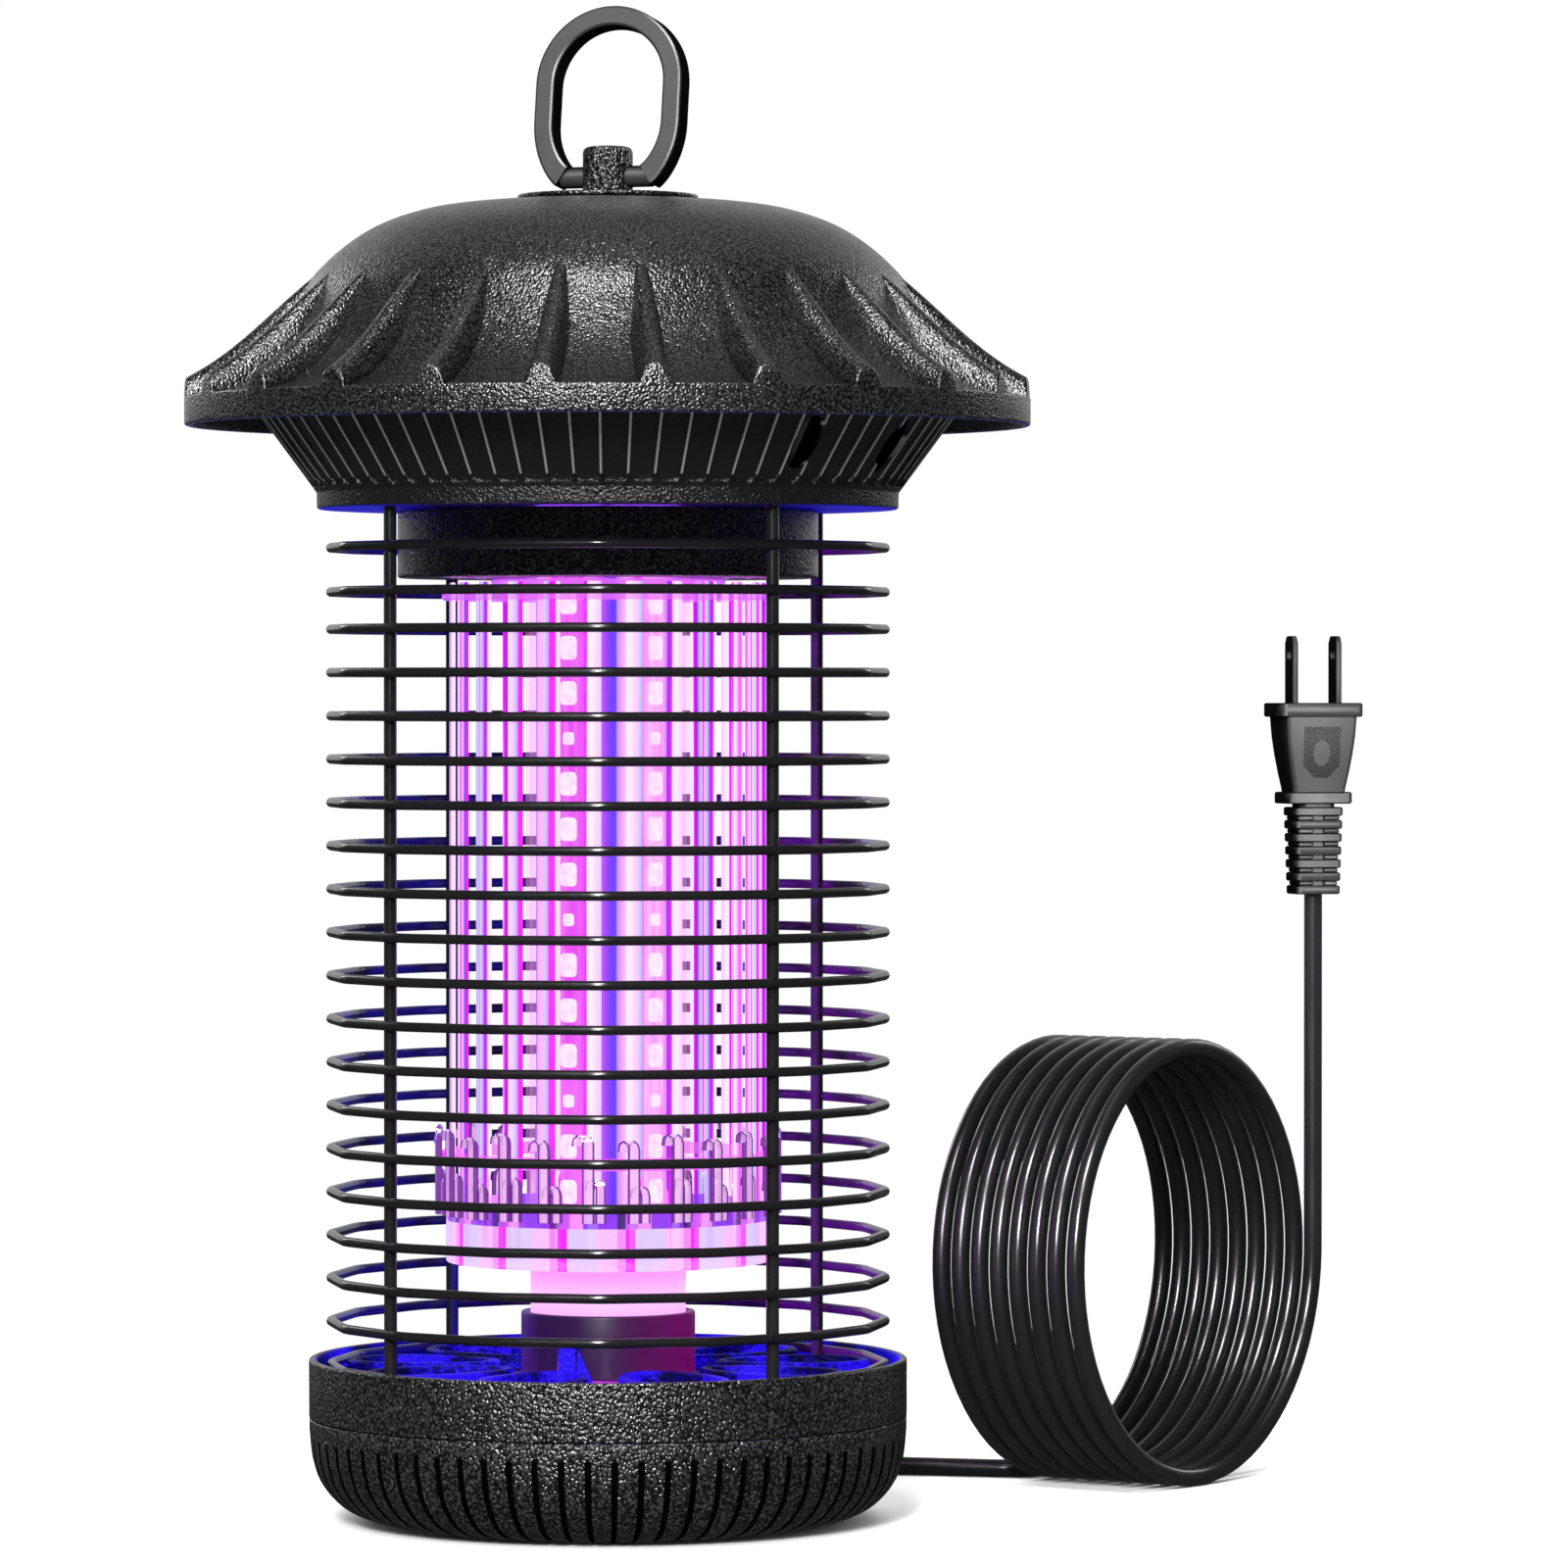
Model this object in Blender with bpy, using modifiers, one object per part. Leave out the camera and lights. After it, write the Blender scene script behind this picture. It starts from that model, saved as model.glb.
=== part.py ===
"""Lantern-style electric bug zapper with its cord, one object for each separate piece.

Sizes are in millimetres, and the helpers turn them into Blender's metres. +Z runs up the lantern's
axis, -Y is the front, and the origin is the middle of the foot that the lantern stands on.
"""

import math

import bmesh
import bpy
from mathutils import Matrix, Vector, geometry

MM = 0.001
GAP = 0.3
STEPS = 36
FINE_STEPS = 24

# Base
BASE_R = 76.3
BASE_WALL = 2.0
RIM_Z = 42.0
SEAM_Z = 27.0
FOOT_R = 45.0
TRAY_Z = 37.4
TRAY_THICK = 4.0
TRAY_OPENINGS = 9

# Cage
RING_R = 71.0
WIRE_R = 1.25
WIRE_SIDES = 4
RING_SIDES = 16
RING_PITCH = 11.03
LOW_RING_Z = 40.25
EVEN_RINGS = 18
UPPER_RINGS_Z = (237.25, 248.5)
ROD_CIRCLE_R = 68.0
ROD_R = 1.625
ROD_TURN = 38.2
ROD_HOLE_R = 2.3
ROD_Z = (30.4, 264.5)

# Lamp and grid
LAMP_TUBE_R = 21.0
GRID_R = 40.0
GRID_YAW = 3.3
STRIPS = 24
DRUM_Z = (66.7, 81.6)
CUP_R = 22.2
COLUMN_WIDTH = 28.6
COLUMN_YAW = 6.5

# Head
NECK_R = 53.6
NECK_Z = (240.75, 257.95)
SKIRT_FOOT_Z = 258.25
SKIRT_TOP_Z = 289.0
BRIM_R = 107.75
BRIM_Z = (279.5, 286.7)
CROWN_Z = 337.0
LID_WALL = 2.6
LID_RIBS = 24

# Hanger
PIN_Z = 343.0
PIN_R = 2.75
POST_R = 6.4
RING_YAW = -21.0
RING_LEAN = 8.0

# Cord and plug
CORD_R = 2.45
CORD_EXIT_Z = 34.6
COIL_R = 57.2
COIL_PITCH = 6.0
COIL_TURNS = 8.25
COIL_START = Vector((115.6, 115.7, 0))
COIL_HEADING = 55.0
PLUG_FOOT_Z = 156.7
PLUG_YAW = 18.0
BLADE_SPACING = 12.7
BLADE = (1.5, 6.35, 18.2)


def clear_scene():
    for obj in list(bpy.data.objects):
        bpy.data.objects.remove(obj, do_unlink=True)


def collection(name):
    made = bpy.data.collections.new(name)
    bpy.context.scene.collection.children.link(made)
    return made


def finish(name, colour, roughness, metallic=0.0, alpha=1.0):
    material = bpy.data.materials.new(name)
    material.use_nodes = True
    shader = material.node_tree.nodes["Principled BSDF"]
    shader.inputs["Base Color"].default_value = (*colour, 1)
    shader.inputs["Roughness"].default_value = roughness
    shader.inputs["Metallic"].default_value = metallic
    shader.inputs["Alpha"].default_value = alpha
    return material


clear_scene()
PARTS = collection("bug_zapper")
CUTTERS = collection("cutters")
GRAINED = finish("grained_black_plastic", (0.02, 0.02, 0.022), 0.45)
SMOOTH = finish("smooth_black_plastic", (0.03, 0.03, 0.032), 0.3)
POWDER = finish("black_powder_coat", (0.03, 0.03, 0.03), 0.35, 0.3)
CLEAR = finish("clear_plastic", (0.85, 0.8, 0.95), 0.05, 0.0, 0.35)
LAMP = finish("lamp_plastic", (0.95, 0.6, 0.95), 0.3)
WHITE = finish("white_board", (0.85, 0.82, 0.88), 0.4)
STEEL = finish("bright_steel", (0.7, 0.7, 0.72), 0.25, 1.0)
BRASS = finish("plated_brass", (0.75, 0.73, 0.68), 0.2, 1.0)
CORD = finish("cord_jacket", (0.012, 0.012, 0.013), 0.28)
RUBBER = finish("rubber", (0.03, 0.03, 0.03), 0.8)
BOARD = finish("circuit_board", (0.05, 0.25, 0.12), 0.5)
WINDING = finish("transformer_tape", (0.8, 0.65, 0.1), 0.5)


def add(name, data, material=None):
    """Links a new object; one without a material is a cutter or an operand, and isn't part of the model."""
    obj = bpy.data.objects.new(name, data)
    (PARTS if material else CUTTERS).objects.link(obj)
    if material:
        data.materials.append(material)
    else:
        obj.hide_render = True
        obj.display_type = "WIRE"
    return obj


def spin(angle, x=0.0, y=0.0, z=0.0):
    """Placement of something moved to (x, y, z), then turned about the lantern's axis."""
    return Matrix.Rotation(math.radians(angle), 4, "Z") @ Matrix.Translation(Vector((x, y, z)) * MM)


def evenly(count, start=0.0):
    return [start + 360 * k / count for k in range(count)]


def turned(name, outline, material=None, steps=STEPS, closed=True):
    """Revolves (radius, height) points about +Z. The outline runs down its outer side."""
    mesh = bpy.data.meshes.new(name)
    points = [(r * MM, 0, z * MM) for r, z in outline]
    edges = [(k, k + 1) for k in range(len(points) - 1)]
    if closed:
        edges.append((len(points) - 1, 0))
    mesh.from_pydata(points, edges, [])
    obj = add(name, mesh, material)
    turn = obj.modifiers.new("Turn", "SCREW")
    turn.steps = turn.render_steps = steps
    turn.use_merge_vertices = True
    turn.merge_threshold = 0.00001
    return obj


def sleeve(name, outer, inner, z, material, steps=FINE_STEPS):
    low, high = z
    return turned(name, [(outer, high), (outer, low), (inner, low), (inner, high)], material, steps)


def from_bmesh(name, bm, material=None):
    bmesh.ops.recalc_face_normals(bm, faces=bm.faces)
    mesh = bpy.data.meshes.new(name)
    bm.to_mesh(mesh)
    bm.free()
    return add(name, mesh, material)


def blocks(name, items, material=None):
    """Boxes in one object; each item is (size, placement of its middle)."""
    bm = bmesh.new()
    for size, placement in items:
        scale = Matrix.Diagonal((*(s * MM for s in size), 1))
        bmesh.ops.create_cube(bm, size=1, matrix=placement @ scale)
    return from_bmesh(name, bm, material)


def rounds(name, items, material=None, sides=12):
    """Upright cylinders in one object; each item is (radius, height, placement of its middle)."""
    bm = bmesh.new()
    for radius, height, placement in items:
        bmesh.ops.create_cone(
            bm,
            cap_ends=True,
            segments=sides,
            radius1=radius * MM,
            radius2=radius * MM,
            depth=height * MM,
            matrix=placement,
        )
    return from_bmesh(name, bm, material)


def prisms(name, outline, thick, placements, material=None):
    """Copies of a flat outline in the XZ plane, each thickened evenly about that plane."""
    bm = bmesh.new()
    for placement in placements:
        corners = [bm.verts.new(placement @ Vector((x * MM, -thick * MM / 2, z * MM))) for x, z in outline]
        face = bm.faces.new(corners)
        grown = bmesh.ops.extrude_face_region(bm, geom=[face])["geom"]
        moved = [v for v in grown if isinstance(v, bmesh.types.BMVert)]
        across = placement.to_3x3() @ Vector((0, thick * MM, 0))
        bmesh.ops.translate(bm, verts=moved, vec=across)
    return from_bmesh(name, bm, material)


def lofted(name, levels, material=None, placement=None):
    """A stack of rectangular sections; each level is (height, width along X, depth along Y)."""
    bm = bmesh.new()
    rings = []
    for z, width, depth in levels:
        signs = ((-1, -1), (1, -1), (1, 1), (-1, 1))
        rings.append([bm.verts.new((sx * width * MM / 2, sy * depth * MM / 2, z * MM)) for sx, sy in signs])
    for low, high in zip(rings, rings[1:]):
        for k in range(4):
            bm.faces.new((low[k], low[k - 3], high[k - 3], high[k]))
    bm.faces.new(rings[0])
    bm.faces.new(rings[-1])
    obj = from_bmesh(name, bm, material)
    obj.matrix_world = placement or Matrix()
    return obj


def wire(name, points, radius, material, bevel_resolution=1):
    """A round wire along a line of points, with filled ends."""
    curve = bpy.data.curves.new(name, "CURVE")
    curve.dimensions = "3D"
    curve.bevel_depth = radius * MM
    curve.bevel_resolution = bevel_resolution
    curve.use_fill_caps = True
    line = curve.splines.new("POLY")
    line.points.add(len(points) - 1)
    for point, place in zip(line.points, points):
        point.co = (*(Vector(place) * MM), 1)
    return add(name, curve, material)


def combine(obj, other, operation):
    boolean = obj.modifiers.new(operation.title(), "BOOLEAN")
    boolean.operation = operation
    boolean.object = other
    return obj


def cut(obj, cutter):
    return combine(obj, cutter, "DIFFERENCE")


def join(obj, other):
    return combine(obj, other, "UNION")


def arc(centre, radius, start, end, count):
    """Points on an arc between two angles in degrees, ends included."""
    angles = [math.radians(start + (end - start) * k / count) for k in range(count + 1)]
    return [(centre[0] + radius * math.cos(a), centre[1] + radius * math.sin(a)) for a in angles]


# ---- Base ----


def make_collection_bowl():
    """Lower bowl that catches the insects; it twists and drops off. Its ledge carries the seal."""
    inside = [(0, 2.6), (44.5, 2.6), (64, 6), (71.0, 13.0), (72.4, 18.5), (70.4, 21.5)]
    rim = [(70.4, 24.6), (BASE_R - BASE_WALL, 24.6), (BASE_R - BASE_WALL, SEAM_Z)]
    outside = [(BASE_R, SEAM_Z), (75.3, 16.3), (73.6, 11.4), (69.8, 6.5), (65, 3), (FOOT_R, 0)]
    turned("collection_bowl", inside + rim + outside + [(0, 0)], GRAINED, closed=False)


def make_bowl_seal():
    sleeve("bowl_seal", BASE_R - BASE_WALL - 2 * GAP, 70.8, (24.6 + GAP, SEAM_Z), RUBBER, STEPS)


def make_base_band():
    """Fixed upper band of the base, with an inner foot flange and the cord's outlet at the back."""
    inner = BASE_R - BASE_WALL
    foot = SEAM_Z + GAP
    outline = [(75.7, RIM_Z), (BASE_R, RIM_Z - 0.8), (BASE_R, foot), (69, foot), (69, foot + 2)]
    band = turned("base_band", outline + [(inner, foot + 2), (inner, RIM_Z)], GRAINED)
    along_y = Matrix.Rotation(math.radians(90), 4, "X")
    outlet = Matrix.Translation(Vector((0, BASE_R, CORD_EXIT_Z)) * MM) @ along_y
    cut(band, rounds("cord_outlet", [(3.6, 12, outlet)]))


def make_tray_deck():
    """Open deck under the lamp: a hub and a rim joined by arms, on six feet, with the lamp's lock tab."""
    low = TRAY_Z - TRAY_THICK
    rim = BASE_R - BASE_WALL - GAP
    deck = turned("tray_deck", [(rim, TRAY_Z), (rim, low), (6, low), (6, TRAY_Z)], GRAINED)
    mid_z = TRAY_Z - TRAY_THICK / 2
    stretch = Matrix.Diagonal((1.75, 1.0, 1, 1))
    openings = [(10, 12, spin(a, 47, 0, mid_z) @ stretch) for a in evenly(TRAY_OPENINGS, 10)]
    cut(deck, rounds("tray_openings", openings, sides=8))
    rod_holes = [(ROD_HOLE_R, 12, spin(a, ROD_CIRCLE_R, 0, mid_z)) for a in evenly(4, ROD_TURN)]
    cut(deck, rounds("tray_rod_holes", rod_holes, sides=6))
    cut(deck, blocks("cord_notch", [((12, 16, 12), spin(0, 0, 72, mid_z))]))
    foot_z = SEAM_Z + GAP + 2 + GAP
    foot_height = low - foot_z + 1
    feet = [(2, foot_height, spin(a, 71.2, 0, foot_z + foot_height / 2)) for a in evenly(6)]
    join(deck, rounds("tray_feet", feet, sides=6))
    join(deck, blocks("lock_tab", [((5, 2.4, 11), spin(0, -9.6, -26, TRAY_Z + 4.5))]))


def make_cord_bushing():
    """Strain relief in the back of the base; the cord runs through it along Y."""
    hole = CORD_R + GAP
    outline = [(3.3, 5.4), (3.3, 1.2), (5.2, 1.2), (5.2, -0.4), (4.2, -5), (hole, -5), (hole, 5.4)]
    bushing = turned("cord_bushing", outline, RUBBER, 12)
    bushing.rotation_euler = (math.radians(90), 0, 0)
    bushing.location = Vector((0, BASE_R + 1.6, CORD_EXIT_Z)) * MM


# ---- Cage ----


def make_wire_cage():
    """Twenty sixteen-sided wire rings welded outside four upright rods, as one piece."""
    heights = [LOW_RING_Z + RING_PITCH * k for k in range(EVEN_RINGS)] + list(UPPER_RINGS_Z)
    points = []
    edges = []
    for z in heights:
        first = len(points)
        section = arc((RING_R, z), WIRE_R, 90, -270, WIRE_SIDES)[:-1]
        points += [(r * MM, 0, height * MM) for r, height in section]
        edges += [(first + k, first + (k + 1) % WIRE_SIDES) for k in range(WIRE_SIDES)]
    mesh = bpy.data.meshes.new("wire_cage")
    mesh.from_pydata(points, edges, [])
    cage = add("wire_cage", mesh, POWDER)
    turn = cage.modifiers.new("Turn", "SCREW")
    turn.steps = turn.render_steps = RING_SIDES
    turn.use_merge_vertices = True
    turn.merge_threshold = 0.00001
    low, high = ROD_Z
    rods = [(ROD_R, high - low, spin(a, ROD_CIRCLE_R, 0, (low + high) / 2)) for a in evenly(4, ROD_TURN)]
    join(cage, rounds("cage_rods", rods, sides=6))


def make_rod_nuts():
    """Hexagon nuts that hold the rods above the skirt's floor and under the tray."""
    hole = (ROD_R + GAP) / math.cos(math.radians(30))
    outline = [(3.6, 2.4), (3.6, 0), (hole, 0), (hole, 2.4)]
    tray_underside = TRAY_Z - TRAY_THICK
    for k, angle in enumerate(evenly(4, ROD_TURN), 1):
        for name, z in (("top_nut", SKIRT_FOOT_Z + 2.5 + GAP), ("foot_nut", tray_underside - 2.4 - GAP)):
            nut = turned(f"{name}_{k}", outline, STEEL, 6)
            nut.matrix_world = spin(angle, ROD_CIRCLE_R, 0, z)


# ---- Lamp and grid ----


def make_lamp_socket():
    outline = [(CUP_R, 54), (CUP_R, 37.7), (6, 37.7), (6, 40), (CUP_R - 2, 40), (CUP_R - 2, 54)]
    turned("lamp_socket", outline, SMOOTH, FINE_STEPS)


def make_lamp():
    """Clear tube round a square board column with four light strips, between two end caps."""
    low = DRUM_Z[0] + 2.3 + GAP
    sleeve("lamp_collar", 19.8, 12, (44, DRUM_Z[0] - GAP), LAMP)
    sleeve("lamp_tube", LAMP_TUBE_R, LAMP_TUBE_R - 1, (low, 246.3), CLEAR)
    top = [(23, 249), (23, 243.6), (21.3, 243.6), (21.3, 246.6), (6, 246.6), (6, 249)]
    turned("lamp_top_cap", top, WHITE, FINE_STEPS)
    height = 176.5
    middle = low + height / 2
    corner_r = COLUMN_WIDTH / math.sqrt(2)
    square = spin(COLUMN_YAW + 45, z=middle)
    column = blocks("led_column", [((COLUMN_WIDTH, COLUMN_WIDTH, height), square)], WHITE)
    core = COLUMN_WIDTH - 4
    cut(column, blocks("column_hollow", [((core, core, height + 4), square)]))
    corners = [((4, 12, height + 4), spin(a, corner_r, 0, middle)) for a in evenly(4, COLUMN_YAW)]
    cut(column, blocks("column_corners", corners))
    for k, angle in enumerate(evenly(4, COLUMN_YAW + 45), 1):
        out = COLUMN_WIDTH / 2 + GAP + 0.4
        blocks(f"led_strip_{k}", [((0.8, 7, height - 2), spin(angle, out, 0, middle))], WHITE)


def comb_strip(z_low, z_shoulder, z_high):
    """Outline of one grid strip across its width: full width above the shoulder, a narrow tail below it."""
    wide, narrow = 2.0, 1.2
    left = [(-narrow, z_low), (-narrow, z_shoulder - 1.5), (-wide, z_shoulder), (-wide, z_high)]
    return left + [(-x, z) for x, z in reversed(left)]


def make_comb(name, first, z_strip, z_bus):
    """Half of the killing grid: every second strip, joined by one bus ring."""
    z_low, z_shoulder, z_high = z_strip
    upright = spin(0, GRID_R) @ Matrix.Rotation(math.radians(90), 4, "Z")
    places = [spin(angle) @ upright for angle in evenly(STRIPS // 2, GRID_YAW + first)]
    comb = sleeve(name, GRID_R - 0.25, GRID_R - 1.6, z_bus, STEEL, STEPS)
    join(comb, prisms(f"{name}_strips", comb_strip(z_low, z_shoulder, z_high), 1.0, places))


def make_grid():
    pitch = 360 / STRIPS
    make_comb("live_electrode", pitch / 2, (86.2, 95.5, 234.6), (230.5, 234.4))
    make_comb("earth_electrode", pitch * 1.5, (82.2, 91.5, 230.0), (82.0, 85.4))


def make_insulators():
    """Clear crown under the grid with its hooked fingers, the clear ring in it, and the clear top disc."""
    low, high = DRUM_Z
    r = GRID_R + 1.3
    over_strips = GRID_YAW + 180 / STRIPS - 1
    outline = [(r, high), (r, low), (12, low), (12, low + 2.3), (r - 2, low + 2.3), (r - 2, high)]
    crown = turned("lower_insulator", outline, CLEAR)
    fingers = [((2.4, 2.0, 25), spin(a, r + 0.65, 0, 88.5)) for a in evenly(STRIPS, over_strips)]
    join(crown, blocks("crown_fingers", fingers))
    sleeve("clip_ring", GRID_R - 0.9, GRID_R - 3.2, (92, 95), CLEAR)
    top = [(42.3, 237.5), (42.3, 235), (CUP_R, 235), (CUP_R, 240.4), (30, 240.4), (30, 237.5)]
    turned("upper_insulator", top, CLEAR, FINE_STEPS)


# ---- Head ----


def make_lamp_housing():
    low, high = NECK_Z
    wall = NECK_R - 2.2
    floor = low + 2.4
    outline = [(NECK_R, high), (NECK_R, low), (CUP_R, low), (CUP_R, floor), (wall, floor), (wall, high)]
    turned("lamp_housing", outline, GRAINED)


def vent_places():
    """Four oval vents round the skirt, in two pairs."""
    return [angle + side for angle in evenly(2, -40) for side in (-12, 12)]


def make_upper_skirt():
    """Cone under the brim whose floor carries the cage, the housing and the driver board."""
    foot, top = SKIRT_FOOT_Z, SKIRT_TOP_Z
    outside = [(93.8, top), (74.2, 262.5), (74.0, foot)]
    floor = [(46, foot), (46, foot + 2.5), (71.6, foot + 2.5)]
    ledge = [(90.2, top - 2.5), (79, top - 2.5), (79, top)]
    skirt = turned("upper_skirt", outside + floor + ledge, GRAINED)
    rod_holes = [(ROD_HOLE_R, 8, spin(a, ROD_CIRCLE_R, 0, foot + 1)) for a in evenly(4, ROD_TURN)]
    cut(skirt, rounds("skirt_rod_holes", rod_holes, sides=6))
    along_x = Matrix.Rotation(math.radians(90), 4, "Y")
    oval = Matrix.Diagonal((1.5, 1.0, 1, 1))
    vents = [(4.2, 16, spin(a, 82, 0, 273.5) @ along_x @ oval) for a in vent_places()]
    cut(skirt, rounds("skirt_vents", vents, sides=10))
    screw_holes = [(1.8, 8, spin(a, 84, 0, top - 1)) for a in evenly(3, 90)]
    cut(skirt, rounds("skirt_screw_holes", screw_holes, sides=8))


def lid_outline():
    """Outer line of the lid between its ribs: a dome, a shoulder, and a bell down to the brim."""
    dome = [(3.4, CROWN_Z), (23.2, CROWN_Z), (41.2, 335.4), (54, 332.4), (65, 326.6), (74, 318.6)]
    bell = [(79.5, 309.5), (86.5, 299), (95.5, 291), (BRIM_R - 0.5, BRIM_Z[1])]
    return dome + bell


def make_top_cover():
    """Domed lid with a wide brim and radial ribs that stand up from the bell to the brim's edge."""
    brim_low = BRIM_Z[0]
    outside = lid_outline() + [(BRIM_R, BRIM_Z[1] - 0.5), (BRIM_R, brim_low)]
    brim_in = BRIM_R - 2.4
    inside = [(brim_in, brim_low), (brim_in, 284.2), (94.2, 288.7), (84.6, 297.4), (77.4, 308)]
    crown = [(72.0, 317), (53.2, 329.6), (23, CROWN_Z - LID_WALL), (3.4, CROWN_Z - LID_WALL)]
    lid = turned("top_cover", outside + inside + crown, GRAINED)
    rib = [(75.0, 316.5), (91.5, 301.2), (106.9, 291.5), (106.9, 285.6), (84, 299)]
    places = [spin(a) for a in evenly(LID_RIBS, -90 + 7.5)]
    join(lid, prisms("lid_ribs", rib, 5.5, places))
    bosses = [(4, 12.5, spin(a, 84, 0, SKIRT_TOP_Z + GAP + 6.25)) for a in evenly(3, 90)]
    join(lid, rounds("lid_bosses", bosses, sides=10))
    screw_holes = [(1.8, 12, spin(a, 84, 0, SKIRT_TOP_Z + 3.5)) for a in evenly(3, 90)]
    cut(lid, rounds("boss_holes", screw_holes, sides=8))


def make_cover_screws():
    under = SKIRT_TOP_Z - 2.5 - GAP
    tip, head = under + 11, under - 2.2
    outline = [(0, tip), (1.5, tip), (1.5, under), (3.2, under), (3.2, head), (0, head)]
    for k, angle in enumerate(evenly(3, 90), 1):
        screw = turned(f"cover_screw_{k}", outline, STEEL, 10, closed=False)
        screw.matrix_world = spin(angle, 84)


def make_electronics():
    """Driver board on the skirt's floor, with the high-voltage parts and the leads up from the cord."""
    board_z = SKIRT_FOOT_Z + 2.5 + GAP
    sleeve("driver_board", 60, 8, (board_z, board_z + 1.6), BOARD)
    top = board_z + 1.6 + GAP
    blocks("hv_transformer", [((24, 19, 17), spin(0, 28, 14, top + 8.5))], WINDING)
    for k, (x, y) in enumerate(((-24, 20), (-37, 12)), 1):
        rounds(f"hv_capacitor_{k}", [(5.2, 16, spin(0, x, y, top + 8))], SMOOTH)
    blocks("bridge_rectifier", [((15, 4, 11), spin(0, -8, -28, top + 5.5))], SMOOTH)
    path = [(0, 68.5, 31.4), (0, 40, 30.8), (0, 6, 30.8), (0, 1.5, 31.6), (0, 0, 35), (0, 0, board_z + 6)]
    wire("supply_lead", path, 1.3, CORD)


# ---- Hanger ----


def make_hanger():
    """Post that swivels in the crown, cross-bored for the ring's pin, with its washer and nut inside."""
    disc = [(23, 338.4), (23, CROWN_Z + GAP), (3.4, CROWN_Z + GAP), (3.4, 338.4)]
    turned("hanger_disc", disc, GRAINED, FINE_STEPS)
    shank = [(POST_R - 0.8, 350.6), (POST_R, 349.8), (POST_R, 338.7), (3.0, 338.7), (3.0, 323.6), (0, 323.6)]
    post = turned("swivel_post", [(0, 350.6), *shank], GRAINED, FINE_STEPS, closed=False)
    bore_turn = Matrix.Rotation(math.radians(90), 4, "Y")
    bore = rounds("pin_bore", [(PIN_R + GAP, 30, spin(RING_YAW, z=PIN_Z) @ bore_turn)], sides=16)
    cut(post, bore)
    under = CROWN_Z - LID_WALL - GAP
    sleeve("post_washer", 9, 3.3, (under - 1.2, under), STEEL, 16)
    sleeve("post_nut", 6.5, 3.6, (under - 6.5, under - 1.2 - GAP), STEEL, 6)


def ring_outline(half_width, top, corner):
    """Closed line of the hanging ring: a half circle, straight sides, and sides that draw in to the pin."""
    x, z = corner
    side_low = 14.0
    middle = ((half_width * 2 + x) / 3 + 1.6, (side_low + z) / 2 + 0.6)
    right = [(x, z), middle, (half_width, side_low)]
    bend = arc((0, top - half_width), half_width, 0, 180, 14)
    return right + bend + [(-u, w) for u, w in reversed(right)]


def make_hanging_ring():
    """Flat-sided ring closed by a round pin in the post's cross-bore; it leans back a little on its pin."""
    outer = ring_outline(20.0, 43.9, (13.2, -PIN_R + 0.1))
    inner = ring_outline(14.9, 38.8, (10.2, PIN_R - 0.3))
    turn = spin(RING_YAW, z=PIN_Z) @ Matrix.Rotation(math.radians(-RING_LEAN), 4, "X")
    ring = prisms("hanging_ring", outer, 7.0, [Matrix()], POWDER)
    cut(ring, prisms("ring_window", inner, 9, [Matrix()]))
    cut(ring, blocks("pin_room", [((16.4, 12, 12), Matrix.Translation((0, 0, -0.0005)))]))
    along_x = Matrix.Rotation(math.radians(90), 4, "Y")
    join(ring, rounds("ring_pin", [(PIN_R, 21, along_x)], sides=12))
    ring.matrix_world = turn
    for name in ("ring_window", "pin_room", "ring_pin"):
        bpy.data.objects[name].matrix_world = turn


# ---- Cord and plug ----


def floor_direction(angle):
    return Vector((math.cos(math.radians(angle)), math.sin(math.radians(angle)), 0))


def coil_point(turns):
    """Point on the coil's centre line; it starts at the bottom and first moves along the heading."""
    along = floor_direction(COIL_HEADING)
    axis = floor_direction(COIL_HEADING - 90)
    angle = 2 * math.pi * turns
    centre = COIL_START + axis * COIL_PITCH * turns + Vector((0, 0, COIL_R + CORD_R))
    return centre + along * COIL_R * math.sin(angle) - Vector((0, 0, COIL_R * math.cos(angle)))


def cord_path():
    """Out of the base, down to the floor, along it, round the coil and straight up to the plug."""
    exit_point = Vector((0, BASE_R + 8, CORD_EXIT_Z))
    bend_r, bend = 12.0, 70
    side = floor_direction(COIL_HEADING - 90)
    floor = Vector((0, 0, CORD_R))
    arc_middle = COIL_START - side * bend_r + floor
    arrival = [
        arc_middle + floor_direction(COIL_HEADING - 90 - bend + bend * k / 5) * bend_r for k in range(5)
    ]
    heading = floor_direction(COIL_HEADING - bend)
    landing = arrival[0] - heading * 66
    down = geometry.interpolate_bezier(
        exit_point, exit_point + Vector((0, 30, 0)), landing - heading * 40, landing, 12
    )
    per_turn = 16
    coil = [coil_point(k / per_turn) for k in range(round(COIL_TURNS * per_turn) + 1)]
    end = coil[-1].copy()
    end.z = PLUG_FOOT_Z + 8
    return [Vector((0, BASE_R - 6, CORD_EXIT_Z)), *down, *arrival, *coil, end]


def make_cord():
    wire("power_cord", cord_path(), CORD_R, CORD)


def relief_levels():
    """Sections of the plug's ribbed strain relief, from its foot up to the lower flange."""
    ribs, pitch, rib = 7, 3.55, 1.6
    levels = []
    for k in range(ribs):
        z = k * pitch
        width = 12.2 + 2.2 * k / ribs
        levels += [(z, width, width * 0.78), (z + rib, width, width * 0.78)]
        levels += [(z + rib, 8.6, 7.6), (z + pitch, 8.6, 7.6)]
    return levels


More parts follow.
